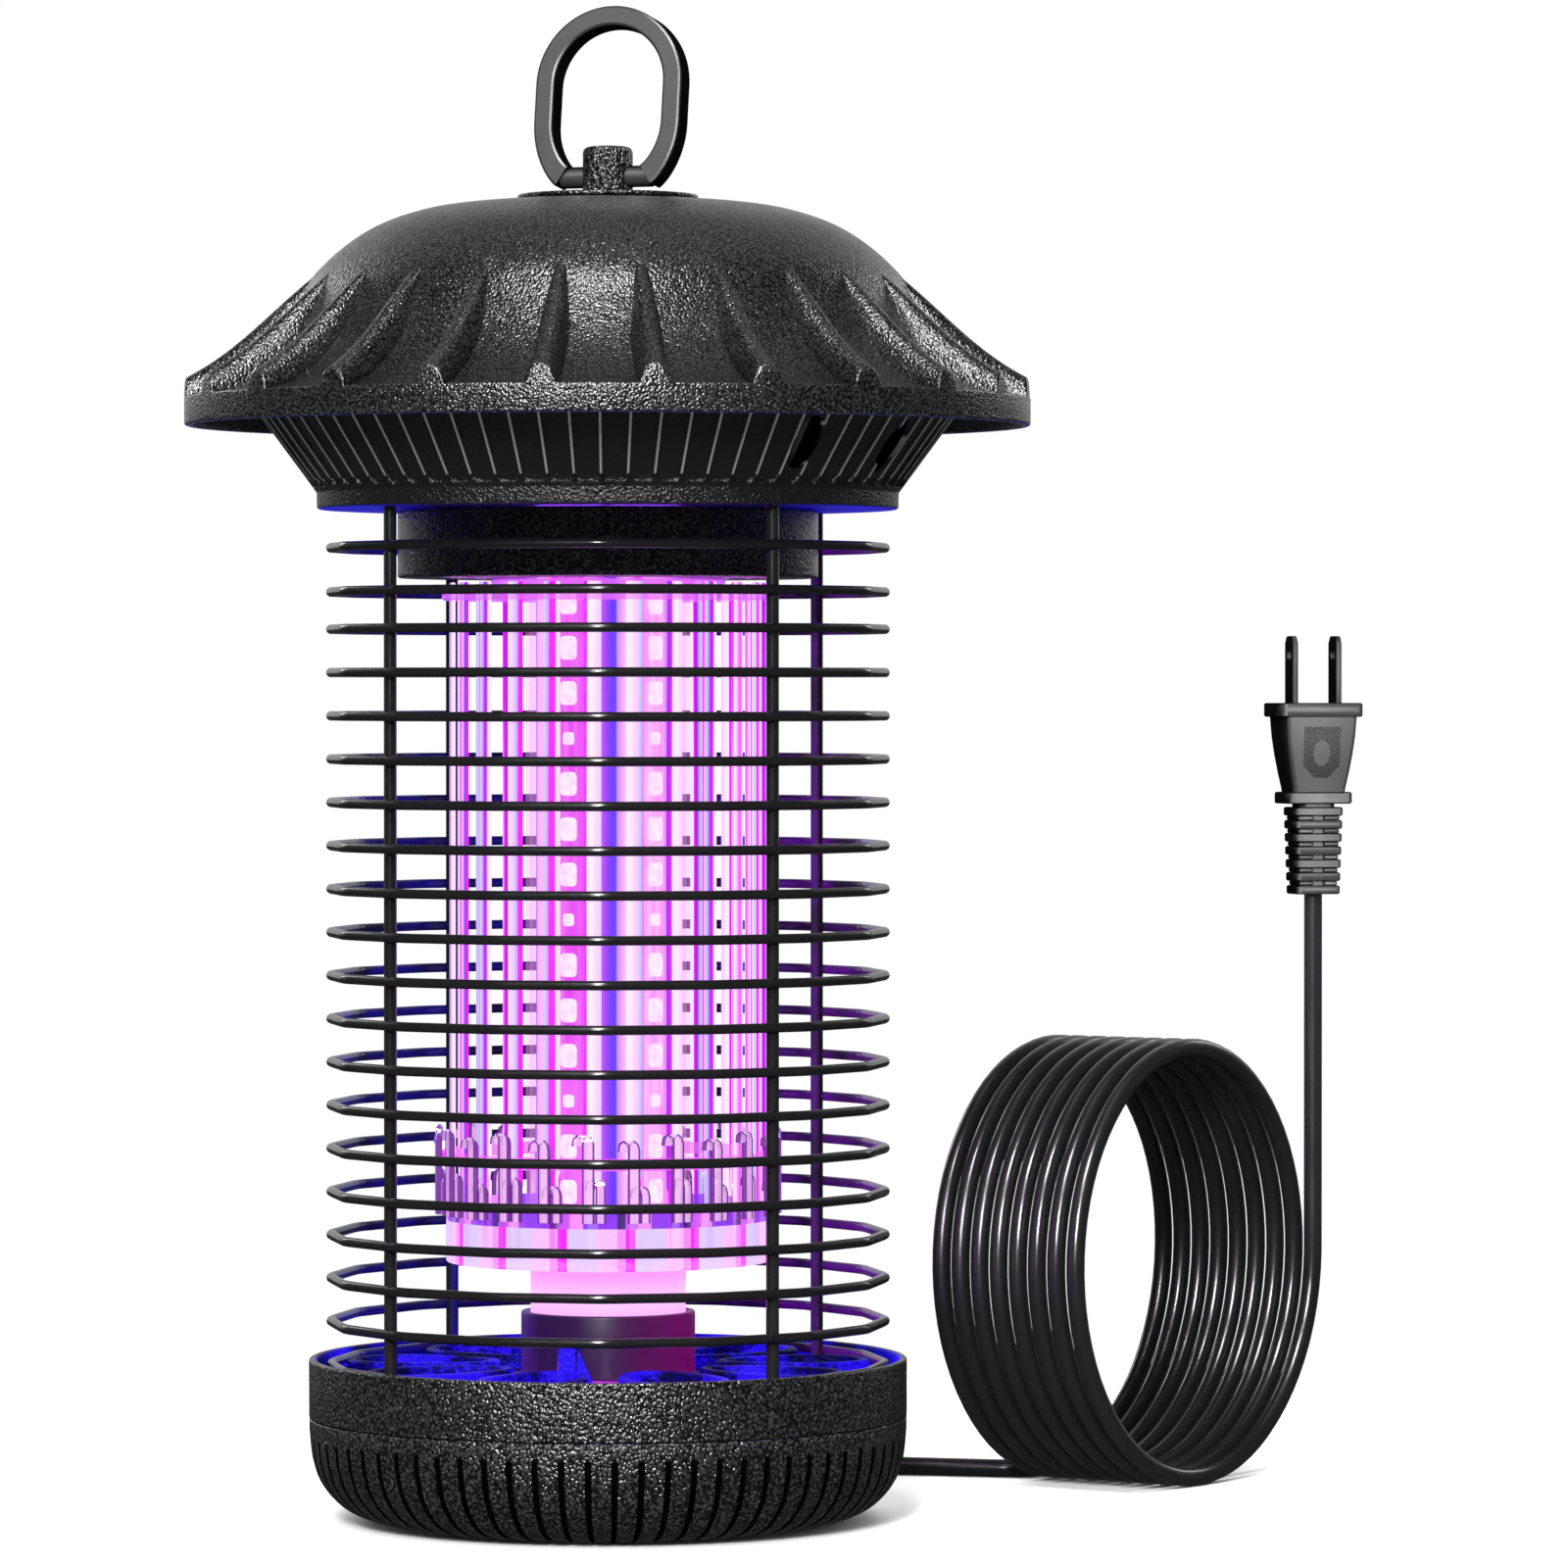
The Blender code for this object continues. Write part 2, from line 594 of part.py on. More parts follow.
def make_plug():
    """Moulded two-blade plug, standing blades up on the end of the cord."""
    foot = coil_point(COIL_TURNS)
    place = Matrix.Translation(Vector((foot.x, foot.y, PLUG_FOOT_Z)) * MM)
    place = place @ Matrix.Rotation(math.radians(PLUG_YAW), 4, "Z")
    flange_z, top = 24.85, 52.0
    levels = relief_levels()
    levels += [(flange_z, 18.3, 13), (flange_z + 3, 18.3, 13), (flange_z + 3, 15.1, 10.6)]
    levels += [(38, 18.6, 12.6), (48.2, 20.5, 14.2), (48.2, 23.6, 15.5), (top, 23.6, 15.5)]
    body = lofted("plug_body", levels, CORD, place)
    thick, wide, long = BLADE
    sides = {"left": -BLADE_SPACING / 2, "right": BLADE_SPACING / 2}
    slot = (thick + 2 * GAP, wide + 2 * GAP, 16)
    slots = [(slot, place @ Matrix.Translation(Vector((x, 0, top)) * MM)) for x in sides.values()]
    cut(body, blocks("blade_slots", slots))
    cord_hole = place @ Matrix.Translation(Vector((0, 0, 4)) * MM)
    cut(body, rounds("cord_hole", [(CORD_R + GAP, 10, cord_hole)]))
    for side, x in sides.items():
        middle = Vector((x, 0, top + (long - 7) / 2)) * MM
        bar = ((thick, wide, long + 7), place @ Matrix.Translation(middle))
        blade = blocks(f"plug_blade_{side}", [bar], BRASS)
        hole = Vector((x, 0, top + long - 5.2)) * MM
        across = place @ Matrix.Translation(hole) @ Matrix.Rotation(math.radians(90), 4, "Y")
        cut(blade, rounds(f"blade_hole_{side}", [(1.6, 8, across)], sides=10))


def smooth_round_pieces():
    for obj in PARTS.objects:
        if obj.type == "MESH":
            obj.data.shade_smooth()


make_collection_bowl()
make_bowl_seal()
make_base_band()
make_tray_deck()
make_cord_bushing()
make_wire_cage()
make_rod_nuts()
make_lamp_socket()
make_lamp()
make_grid()
make_insulators()
make_lamp_housing()
make_upper_skirt()
make_top_cover()
make_cover_screws()
make_electronics()
make_hanger()
make_hanging_ring()
make_cord()
make_plug()
smooth_round_pieces()
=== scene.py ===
"""Looks for the lantern-style bug zapper: finer shells, wires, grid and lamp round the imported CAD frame."""

import math

import bmesh
import bpy
from mathutils import Matrix, Vector
from mathutils.geometry import interpolate_bezier


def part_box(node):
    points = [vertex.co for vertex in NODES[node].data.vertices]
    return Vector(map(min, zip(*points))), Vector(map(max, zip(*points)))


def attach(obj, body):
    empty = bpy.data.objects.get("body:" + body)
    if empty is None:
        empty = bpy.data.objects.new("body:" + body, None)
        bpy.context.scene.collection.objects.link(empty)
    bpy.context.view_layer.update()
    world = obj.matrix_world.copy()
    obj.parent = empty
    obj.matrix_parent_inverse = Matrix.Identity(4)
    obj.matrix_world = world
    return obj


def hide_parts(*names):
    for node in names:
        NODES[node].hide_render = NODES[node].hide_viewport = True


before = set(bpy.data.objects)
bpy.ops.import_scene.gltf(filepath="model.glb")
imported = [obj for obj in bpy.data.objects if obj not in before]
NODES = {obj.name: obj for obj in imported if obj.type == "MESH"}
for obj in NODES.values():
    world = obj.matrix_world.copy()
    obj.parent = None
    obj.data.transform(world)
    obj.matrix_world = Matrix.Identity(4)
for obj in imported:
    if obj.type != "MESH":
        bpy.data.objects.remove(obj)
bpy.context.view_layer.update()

MM = 0.001
TAU = 2 * math.pi

# Lengths here and in the outlines are in millimetres and angles in degrees.
# Meshes, shader distances, lights and the camera are in metres, as Blender takes them.
GRID_STRIPS = 24
GRID_R = 40.0
GRID_YAW = 3.3
COLUMN_YAW = 6.5
LID_RIBS = 24
FLUTES = 72
GROOVE_START = 2.5
SKIRT_FOOT_R = 74.2
SKIRT_FOOT_Z = 262.5
SKIRT_SLOPE = 0.738
VENT_ANGLES = [middle + side for middle in (-40, 140) for side in (-12, 12)]
VENT_Z = 273.5
DECK_TOP = 37.4
CAGE_SIDES = 16
RING_YAW = -21.0
RING_LEAN = 8.0
PIN_Z = 343.0
CORD_R = 2.45
CORD_OUTLET = Vector((0, 84.3, 34.6))
COIL_START = Vector((115.6, 115.7, 0))
COIL_R = 57.2
COIL_TURNS = 8.25
COIL_PITCH = 6.0
HEADING = 55.0


def extent(node):
    """Widest radius about the lantern's axis, foot height and top height of a round node, in metres."""
    corner_low, corner_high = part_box(node)
    return max(corner_high.x, -corner_low.x), corner_low.z, corner_high.z


def turn(axis, degrees):
    return Matrix.Rotation(math.radians(degrees), 4, axis)


def shift(x, y, z):
    return Matrix.Translation(Vector((x, y, z)) * MM)


# ---- Colours ----


def shade(red, green, blue):
    """Linear colour for a display colour given as 0 to 255."""

    def linear(c):
        return c / 12.92 if c < 0.043 else ((c + 0.055) / 1.055) ** 2.4

    return tuple(linear(c / 255) for c in (red, green, blue))


WHITE = shade(255, 232, 255)
PALE_PINK = shade(253, 200, 252)
PINK = shade(250, 150, 250)
MAGENTA = shade(246, 14, 246)
ORCHID = shade(206, 84, 250)
VIOLET = shade(140, 50, 240)
LILAC = shade(190, 168, 240)
PALE_LILAC = shade(226, 210, 255)
BLUE = shade(70, 20, 250)
DEEP_BLUE = shade(60, 10, 200)
NAVY = shade(8, 0, 100)

# Nearly black, so that a lit part shows the lamp's light and little else.
LAMP_BASE = (0.02, 0.01, 0.03)
BLUE_BASE = (0.001, 0.001, 0.01)


# ---- Materials ----


class Nodes:
    """Short hand for building one node material."""

    def __init__(self, name):
        self.material = bpy.data.materials.new(name)
        self.material.use_nodes = True
        self.tree = self.material.node_tree
        self.shader = self.tree.nodes["Principled BSDF"]
        self.place = self.add("ShaderNodeTexCoord").outputs["Object"]

    def add(self, kind, **settings):
        node = self.tree.nodes.new(kind)
        for key, value in settings.items():
            setattr(node, key, value)
        return node

    def link(self, source, target):
        self.tree.links.new(source, target)

    def feed(self, target, value):
        """Gives a socket another node's output, a plain colour or a number."""
        if hasattr(value, "is_linked"):
            self.link(value, target)
        else:
            target.default_value = (*value, 1) if isinstance(value, tuple) else value

    def set(self, **values):
        """Sets inputs of the main shader; an underscore in a key stands for a space."""
        for key, value in values.items():
            self.feed(self.shader.inputs[key.replace("_", " ")], value)

    def calc(self, operation, *values):
        node = self.add("ShaderNodeMath", operation=operation)
        for target, value in zip(node.inputs, values):
            self.feed(target, value)
        return node.outputs[0]

    def vector(self, operation, first, second=(0, 0, 0)):
        """Vector calculation on one output, or with a second output or a fixed vector."""
        node = self.add("ShaderNodeVectorMath", operation=operation)
        self.link(first, node.inputs[0])
        if isinstance(second, tuple):
            node.inputs[1].default_value = second
        else:
            self.link(second, node.inputs[1])
        return node.outputs["Value" if operation in ("DOT_PRODUCT", "LENGTH", "DISTANCE") else "Vector"]

    def axis(self, name, source=None):
        """One coordinate of a vector, or of the place on the piece."""
        split = self.add("ShaderNodeSeparateXYZ")
        self.link(source or self.place, split.inputs[0])
        return split.outputs[name]

    def across(self, per_metre):
        """Place from left to right: 0.5 on the lantern's axis, rising by per_metre for each metre."""
        return self.calc("ADD", self.calc("MULTIPLY", self.axis("X"), per_metre), 0.5)

    def geometry(self, name):
        return self.add("ShaderNodeNewGeometry").outputs[name]

    def glance(self, blend):
        """0 on faces seen square on, rising to 1 on faces seen edge on."""
        node = self.add("ShaderNodeLayerWeight")
        node.inputs["Blend"].default_value = blend
        return node.outputs["Facing"]

    def noise(self, scale, detail=2.0, roughness=0.5, stretch=None):
        node = self.add("ShaderNodeTexNoise")
        node.inputs["Scale"].default_value = scale
        node.inputs["Detail"].default_value = detail
        node.inputs["Roughness"].default_value = roughness
        source = self.place
        if stretch:
            mapping = self.add("ShaderNodeMapping")
            mapping.inputs["Scale"].default_value = stretch
            self.link(self.place, mapping.inputs["Vector"])
            source = mapping.outputs[0]
        self.link(source, node.inputs["Vector"])
        return node.outputs["Fac"]

    def cells(self, scale):
        node = self.add("ShaderNodeTexVoronoi", feature="SMOOTH_F1")
        node.inputs["Scale"].default_value = scale
        node.inputs["Smoothness"].default_value = 0.6
        self.link(self.place, node.inputs["Vector"])
        return node.outputs["Distance"]

    def ramp(self, source, stops, interpolation="LINEAR"):
        node = self.add("ShaderNodeValToRGB")
        node.color_ramp.interpolation = interpolation
        elements = node.color_ramp.elements
        while len(elements) < len(stops):
            elements.new(0.5)
        for element, (position, colour) in zip(elements, stops):
            element.position = position
            element.color = (*colour, 1) if isinstance(colour, tuple) else (colour, colour, colour, 1)
        self.link(source, node.inputs["Fac"])
        return node.outputs["Color"]

    def blend(self, share, first, second):
        """Colour that goes from the first to the second as the share goes from 0 to 1."""
        mix = self.add("ShaderNodeMix", data_type="RGBA")
        for name, value in (("Factor", share), ("A", first), ("B", second)):
            self.feed(mix.inputs[name], value)
        return mix.outputs["Result"]

    def plain(self, kind, colour):
        """A shader of one plain colour."""
        node = self.add(kind)
        node.inputs["Color"].default_value = (*colour, 1)
        return node.outputs[0]

    def mix_shaders(self, share, first, second):
        mix = self.add("ShaderNodeMixShader")
        for target, value in zip(mix.inputs, (share, first, second)):
            self.feed(target, value)
        return mix.outputs[0]

    def show(self, shader):
        self.link(shader, self.tree.nodes["Material Output"].inputs["Surface"])

    def bump(self, height, distance, strength=1.0):
        node = self.add("ShaderNodeBump")
        node.inputs["Distance"].default_value = distance
        node.inputs["Strength"].default_value = strength
        self.link(height, node.inputs["Height"])
        self.set(Normal=node.outputs[0])

    def rough(self, scale, detail, least, most):
        """Uneven roughness between two values."""
        self.set(Roughness=self.ramp(self.noise(scale, detail), [(0.3, least), (0.7, most)]))

    def painted_edge_highlight(self, colour, edge_highlight_colour):
        """Paints a highlight: lightens the colour along convex edges."""
        share = self.ramp(self.geometry("Pointiness"), [(0.52, 0.0), (0.6, 1.0)])
        self.set(Base_Color=self.blend(share, colour, edge_highlight_colour))

    def glow(self, colour, strength):
        self.set(Emission_Color=colour, Emission_Strength=strength)

    def dark_at_a_glance(self, start=0.3, end=0.6):
        """Painted shade: turns faces seen at a low angle black, as a surround with nothing in it would."""
        dark = self.plain("ShaderNodeBsdfDiffuse", (0.0015, 0.0015, 0.0015))
        share = self.ramp(self.glance(0.5), [(start, 0.0), (end, 1.0)])
        self.show(self.mix_shaders(share, self.shader.outputs[0], dark))

    def seen_through(self, share, tint):
        """Lets the view behind through a glowing piece: share 1 is fully clear."""
        clear = self.plain("ShaderNodeBsdfTransparent", tint)
        self.show(self.mix_shaders(share, self.shader.outputs[0], clear))

    def sectors(self, count, start=0.0):
        """Angle about the lantern's axis in equal sectors: the number of the sector, and the place in it."""
        angle = self.calc("ARCTAN2", self.axis("Y"), self.axis("X"))
        return self.calc("ADD", self.calc("MULTIPLY", angle, count / TAU), count * 2 - start * count / 360)

    def off_middle(self, count, start=0.0):
        """0 in the middle of each sector, 0.5 at its edges."""
        place = self.calc("FRACT", self.sectors(count, start))
        return self.calc("ABSOLUTE", self.calc("SUBTRACT", place, 0.5))

    def facing_down(self, ceiling):
        """1 on faces that look straight down and lie below a height, falling to 0 at the sides."""
        upward = self.axis("Z", self.geometry("True Normal"))
        down = self.ramp(self.calc("MULTIPLY", upward, -1.0), [(0.75, 0.0), (0.95, 1.0)])
        return self.calc("MULTIPLY", down, self.calc("LESS_THAN", self.axis("Z"), ceiling * MM))

    def facing_axis(self):
        """1 on faces that look towards the lantern's axis, falling to 0 on the far side."""
        inward = self.vector("NORMALIZE", self.vector("MULTIPLY", self.place, (-1, -1, 0)))
        return self.vector("DOT_PRODUCT", inward, self.geometry("True Normal"))


def leather_grain(n, pebble, depth):
    """Height of a leather grain: round pebbles of a size in metres, uneven, with creases between them."""
    distance = n.cells(1 / pebble)
    round_top = n.calc("MULTIPLY", n.calc("MULTIPLY", distance, distance), -1.0)
    uneven = n.calc("MULTIPLY", n.noise(1.1 / pebble, 1), 0.7)
    height = n.calc("ADD", round_top, uneven)
    n.bump(height, depth * pebble)
    return height


def between_grooves(n):
    """1 on the bowl's faces between its grip grooves and above them, falling to 0 inside a groove, where
    shade is painted.
    """
    face = n.ramp(n.off_middle(FLUTES, GROOVE_START), [(0.35, 1.0), (0.385, 0.0)])
    return n.calc("MAXIMUM", face, n.calc("GREATER_THAN", n.axis("Z"), 22.4 * MM))


def grained_black(name, pebble, depth, grooved=False, lit_below=None):
    """Black ABS with a leather grain whose creases and concave corners are painted dark as shade and whose
    crests and convex edges are painted lighter as highlights; its undersides may be lit by the lamp, and its
    grooves get painted shade and less gloss.
    """
    n = Nodes(name)
    height = leather_grain(n, pebble * MM, depth)
    # Painted shade and highlight: the grain's creases are coloured near black and its crests lighter.
    crease, side, crest = (0.002, 0.002, 0.002), (0.016, 0.016, 0.017), (0.05, 0.05, 0.053)
    tone = n.ramp(height, [(0.0, crease), (0.2, side), (0.42, crest)])
    # Painted shade in concave corners and painted highlight on convex edges; flat faces are darkened part
    # way.
    edge = n.ramp(n.geometry("Pointiness"), [(0.42, 0.0), (0.49, 0.4), (0.52, 0.4), (0.58, 1.0)])
    if grooved:
        # Painted shade in the grooves: a darker colour and less gloss.
        face = between_grooves(n)
        edge = n.calc("MULTIPLY", edge, face)
        n.set(Specular_IOR_Level=n.calc("MULTIPLY", face, 0.5))
    n.set(Base_Color=n.blend(edge, (0.0005, 0.0005, 0.0005), tone))
    n.rough(60, 3, 0.22, 0.3)
    if lit_below:
        n.glow(shade(6, 1, 80), n.facing_down(lit_below))
    return n.material


def smooth_black(name, colour=(0.005, 0.005, 0.0053), roughness=(0.24, 0.36), glance=False):
    """Smooth moulded black plastic with faint flow marks; with glance, painted shade turns it black where it
    is seen at a low angle.
    """
    n = Nodes(name)
    # Painted highlight: a lighter colour along convex edges.
    n.painted_edge_highlight(colour, tuple(c * 2.2 for c in colour))
    n.bump(n.noise(700), 0.00003, 0.5)
    n.rough(90, 4, *roughness)
    if glance:
        n.dark_at_a_glance()
    return n.material


def powder_coat():
    """Satin black powder coat on wire; the side towards the lamp is lit blue, purple to the right."""
    n = Nodes("powder_coat_look")
    # Painted highlight: a lighter colour along convex edges.
    n.painted_edge_highlight((0.002, 0.002, 0.0021), (0.006, 0.006, 0.006))
    n.set(Specular_IOR_Level=0.25)
    n.bump(n.noise(1400), 0.000004, 0.2)
    n.rough(120, 3, 0.17, 0.21)
    tints = [(0.2, shade(10, 2, 110)), (0.6, shade(8, 0, 86)), (0.9, shade(78, 4, 122))]
    facing = n.ramp(n.facing_axis(), [(0.3, 0.0), (0.75, 1.0)])
    patchy = n.ramp(n.noise(55), [(0.35, 0.15), (0.6, 1.0)])
    n.glow(n.ramp(n.across(7.0), tints), n.calc("MULTIPLY", facing, patchy))
    return n.material


def cord_jacket():
    """Glossy black PVC with the faint lengthwise ripple of an extrusion."""
    n = Nodes("cord_jacket_look")
    # Painted highlight: a lighter colour along convex edges.
    n.painted_edge_highlight((0.003, 0.003, 0.0032), (0.01, 0.01, 0.011))
    n.bump(n.noise(260), 0.00005, 0.5)
    n.rough(40, 3, 0.2, 0.3)
    return n.material


def bright_metal(name, colour, dark=False):
    """Plated metal with fine rolling lines; if dark, painted shade turns it black where it is seen at a low
    angle.
    """
    n = Nodes(name)
    n.set(Metallic=1.0)
    # Painted highlight: a lighter colour along convex edges.
    n.painted_edge_highlight(colour, tuple(min(1, c * 1.15) for c in colour))
    lines = n.noise(900, stretch=(1, 1, 0.05))
    n.bump(lines, 0.00002, 0.4)
    n.set(Roughness=n.ramp(lines, [(0.3, 0.3), (0.7, 0.45)]))
    if dark:
        n.dark_at_a_glance(0.1, 0.35)
    return n.material


def board_look(name, colour):
    """Dull coloured part: board, winding or cap, a little uneven in tone."""
    n = Nodes(name)
    tone = n.ramp(n.noise(180, 3), [(0.3, tuple(c * 0.8 for c in colour)), (0.7, colour)])
    n.set(Base_Color=tone, Roughness=0.45)
    n.bump(n.noise(500), 0.00004, 0.5)
    return n.material


def rubber_look():
    """Soft black rubber, dull all over."""
    n = Nodes("rubber_look")
    # Painted highlight: a lighter colour along convex edges.
    n.painted_edge_highlight((0.015, 0.015, 0.015), (0.035, 0.035, 0.035))
    n.set(Roughness=0.75)
    n.bump(n.noise(900, 3), 0.00006, 0.7)
    return n.material


def lit_clear(name, colour, edge, strength, share, gloss=0.4, at_edge=0.25):
    """Clear plastic that carries the lamp's light: glowing where it is thick, clear where it is thin."""
    n = Nodes(name)
    n.set(Base_Color=LAMP_BASE, Roughness=0.15, Specular_IOR_Level=gloss)
    if gloss > 0.1:
        n.bump(n.noise(220), 0.00002, gloss)
    glance = n.glance(0.35)
    n.glow(n.ramp(glance, [(0.3, colour), (0.8, edge)]), strength)
    clear = n.calc("MULTIPLY", n.ramp(glance, [(0.25, 1.0), (0.8, at_edge)]), share)
    n.seen_through(clear, (1, 0.93, 1))
    return n.material


def grid_strip():
    """Bright grid strips; each mirrors its own part of the lamp in wide upright bands with crisp edges."""
    n = Nodes("grid_strip_look")
    sector = n.sectors(GRID_STRIPS, GRID_YAW)
    window = n.add("ShaderNodeTexWhiteNoise", noise_dimensions="1D")
    n.link(n.calc("ADD", n.calc("FLOOR", sector), 0.37), window.inputs["W"])
    own = n.calc("MULTIPLY", window.outputs["Value"], 9.0)
    across = n.calc("ADD", n.calc("MULTIPLY", n.calc("FRACT", sector), 0.85), own)
    drift = n.calc("MULTIPLY", n.noise(6, 1, stretch=(0.2, 0.2, 1)), 0.1)
    bands = [
        (0.0, WHITE), (0.11, PALE_PINK), (0.14, PALE_LILAC), (0.24, LILAC), (0.26, MAGENTA), (0.39, MAGENTA),
        (0.41, WHITE), (0.5, PALE_PINK), (0.53, PINK), (0.64, shade(240, 60, 248)), (0.67, PALE_LILAC),
        (0.77, shade(160, 140, 226)), (0.79, shade(150, 20, 230)), (0.88, shade(240, 10, 244)), (0.9, WHITE),
    ]
    n.set(Base_Color=LAMP_BASE, Roughness=0.4, Specular_IOR_Level=0.1)
    n.glow(n.ramp(n.calc("FRACT", n.calc("ADD", across, drift)), bands), 1.0)
    return n.material


def column_face():
    """Lamp column lit by its strips: white beside them, through pink to violet and blue at the corners."""
    n = Nodes("led_column_look")
    stops = [
        (0.0, BLUE), (0.012, BLUE), (0.025, shade(196, 140, 252)), (0.1, PALE_PINK), (0.2, PINK),
        (0.24, MAGENTA), (0.31, MAGENTA), (0.34, PINK), (0.36, ORCHID), (0.64, ORCHID), (0.66, MAGENTA),
        (0.7, PINK), (0.8, shade(244, 130, 248)), (0.87, ORCHID), (0.93, VIOLET), (0.975, BLUE),
    ]
    n.set(Base_Color=LAMP_BASE, Roughness=0.25)
    n.bump(n.noise(300), 0.00004, 0.4)
    n.glow(n.ramp(n.calc("FRACT", n.sectors(4, COLUMN_YAW)), stops), 1.0)
    return n.material


def strip_board(name, board, track):
    """Light strip: a board in the lamp's own light, with fine paler tracks along it."""
    n = Nodes(name)
    n.set(Base_Color=LAMP_BASE, Roughness=0.35)
    n.glow(n.ramp(n.noise(420, 2, 0.6, (1, 1, 0.06)), [(0.38, board), (0.62, track)]), 1.0)
    return n.material


def lit_chip():
    """Light-emitting chip: nearly white, pinker towards its edge."""
    n = Nodes("led_chip_look")
    n.set(Base_Color=LAMP_BASE)
    n.glow(n.ramp(n.noise(500), [(0.3, PALE_PINK), (0.6, WHITE)]), 1.25)
    return n.material


def lit_collar():
    """Translucent lamp end, pale pink, brighter in the middle than at its rims."""
    n = Nodes("lamp_collar_look")
    foot, top = extent("lamp_collar")[1:]
    height = n.add("ShaderNodeMapRange")
    height.inputs["From Min"].default_value = foot
    height.inputs["From Max"].default_value = top
    n.link(n.axis("Z"), height.inputs["Value"])
    n.set(Base_Color=LAMP_BASE, Roughness=0.3)
    n.bump(n.noise(300), 0.00003, 0.4)
    n.glow(n.ramp(height.outputs[0], [(0.3, PINK), (0.62, PALE_PINK), (0.9, PINK)]), 1.1)
    return n.material


def crown_drum():
    """Lit clear drum: dark violet blocks along its top edge, magenta slots below, pale between."""
    n = Nodes("crown_drum_look")
    place = n.calc("FRACT", n.sectors(15, GRID_YAW))
    blocks = [(0.0, VIOLET), (0.3, NAVY), (0.42, ORCHID), (0.6, PINK), (0.8, VIOLET)]
    slots = [(0.0, PALE_PINK), (0.3, PINK), (0.42, MAGENTA), (0.56, PALE_LILAC)]
    in_band = n.calc("GREATER_THAN", n.axis("Z"), 77.4 * MM)
    colour = n.blend(in_band, n.ramp(place, slots, "CONSTANT"), n.ramp(place, blocks, "CONSTANT"))
    n.set(Base_Color=LAMP_BASE, Roughness=0.1)
    n.glow(colour, 0.95)
    n.bump(n.noise(240), 0.00003, 0.4)
    n.seen_through(0.18, (1, 0.9, 1))
    return n.material


def blue_lit(name, grain):
    """Black plastic that the lamp floods with pure blue, patchy where arms shade it."""
    n = Nodes(name)
    spread = n.calc("ADD", n.noise(46), n.calc("MULTIPLY", n.noise(900), 0.5 if grain else 0.0))
    middle = 0.75 if grain else 0.5
    dark, mid, pale = shade(3, 0, 54), shade(10, 0, 170), shade(44, 16, 255)
    n.glow(n.ramp(spread, [(middle - 0.1, dark), (middle - 0.01, mid), (middle + 0.1, pale)]), 0.9)
    n.set(Base_Color=BLUE_BASE, Roughness=0.45, Specular_IOR_Level=0.05)
    if grain:
        n.bump(n.calc("ADD", n.cells(900), n.noise(1500)), 0.0003)
    return n.material


def deck_look():
    """Black deck painted with the lamp's blue light, violet near its hub; the walls of its openings carry
    painted lilac and magenta reflections.
    """
    n = Nodes("tray_deck_look")
    level = n.ramp(n.calc("ABSOLUTE", n.axis("Z", n.geometry("True Normal"))), [(0.3, 0.0), (0.6, 1.0)])
    flat = n.calc("MAXIMUM", level, n.calc("GREATER_THAN", n.axis("Z"), (DECK_TOP + 0.2) * MM))
    # Painted blue lamp light on the flat deck, patchy.
    dull = [(0.4, shade(4, 0, 54)), (0.52, shade(8, 1, 120)), (0.66, shade(30, 6, 220))]
    wall = [(0.35, DEEP_BLUE), (0.45, ORCHID), (0.52, PALE_PINK), (0.62, MAGENTA)]
    colour = n.blend(flat, n.ramp(n.noise(75), wall), n.ramp(n.noise(52, 3), dull))
    # Painted violet lamp light near the hub.
    near = n.ramp(n.vector("LENGTH", n.place), [(0.052, 1.0), (0.064, 0.0)])
    hub_violet_glow = n.calc("MULTIPLY", near, n.ramp(n.noise(60, 3), [(0.45, 0.0), (0.55, 1.0)]))
    n.set(Base_Color=BLUE_BASE, Roughness=0.3, Specular_IOR_Level=0.06)
    n.glow(n.blend(hub_violet_glow, colour, shade(210, 60, 236)), 0.8)
    n.bump(n.calc("ADD", n.cells(900), n.noise(1500)), 0.00015)
    return n.material


def bowl_floor_look():
    """Glossy bowl floor that mirrors the lamp: pale in the middle, lilac and magenta towards the wall."""
    n = Nodes("bowl_floor_look")
    reach = n.calc("MULTIPLY", n.vector("LENGTH", n.place), 13.0)
    out = n.calc("ADD", reach, n.calc("MULTIPLY", n.noise(45), 0.35))
    n.set(Base_Color=LAMP_BASE, Roughness=0.12)
    n.glow(n.ramp(out, [(0.3, WHITE), (0.6, PINK), (0.85, ORCHID), (1.0, DEEP_BLUE)]), 0.8)
    return n.material


def cup_look():
    """Smooth dark cup, tinted violet by the lamp, more so towards the right."""
    n = Nodes("cup_look")
    # Painted highlight: a lighter colour along convex edges.
    n.painted_edge_highlight((0.006, 0.004, 0.008), (0.02, 0.01, 0.025))
    n.rough(90, 4, 0.34, 0.44)
    n.set(Specular_IOR_Level=0.22)
    n.bump(n.noise(700), 0.00003, 0.5)
    tints = [(0.02, shade(60, 16, 120)), (0.12, shade(34, 2, 66)), (0.5, shade(40, 0, 58))]
    tints.append((0.9, shade(96, 0, 84)))
    n.glow(n.ramp(n.across(22.0), tints), 1.0)
    return n.material


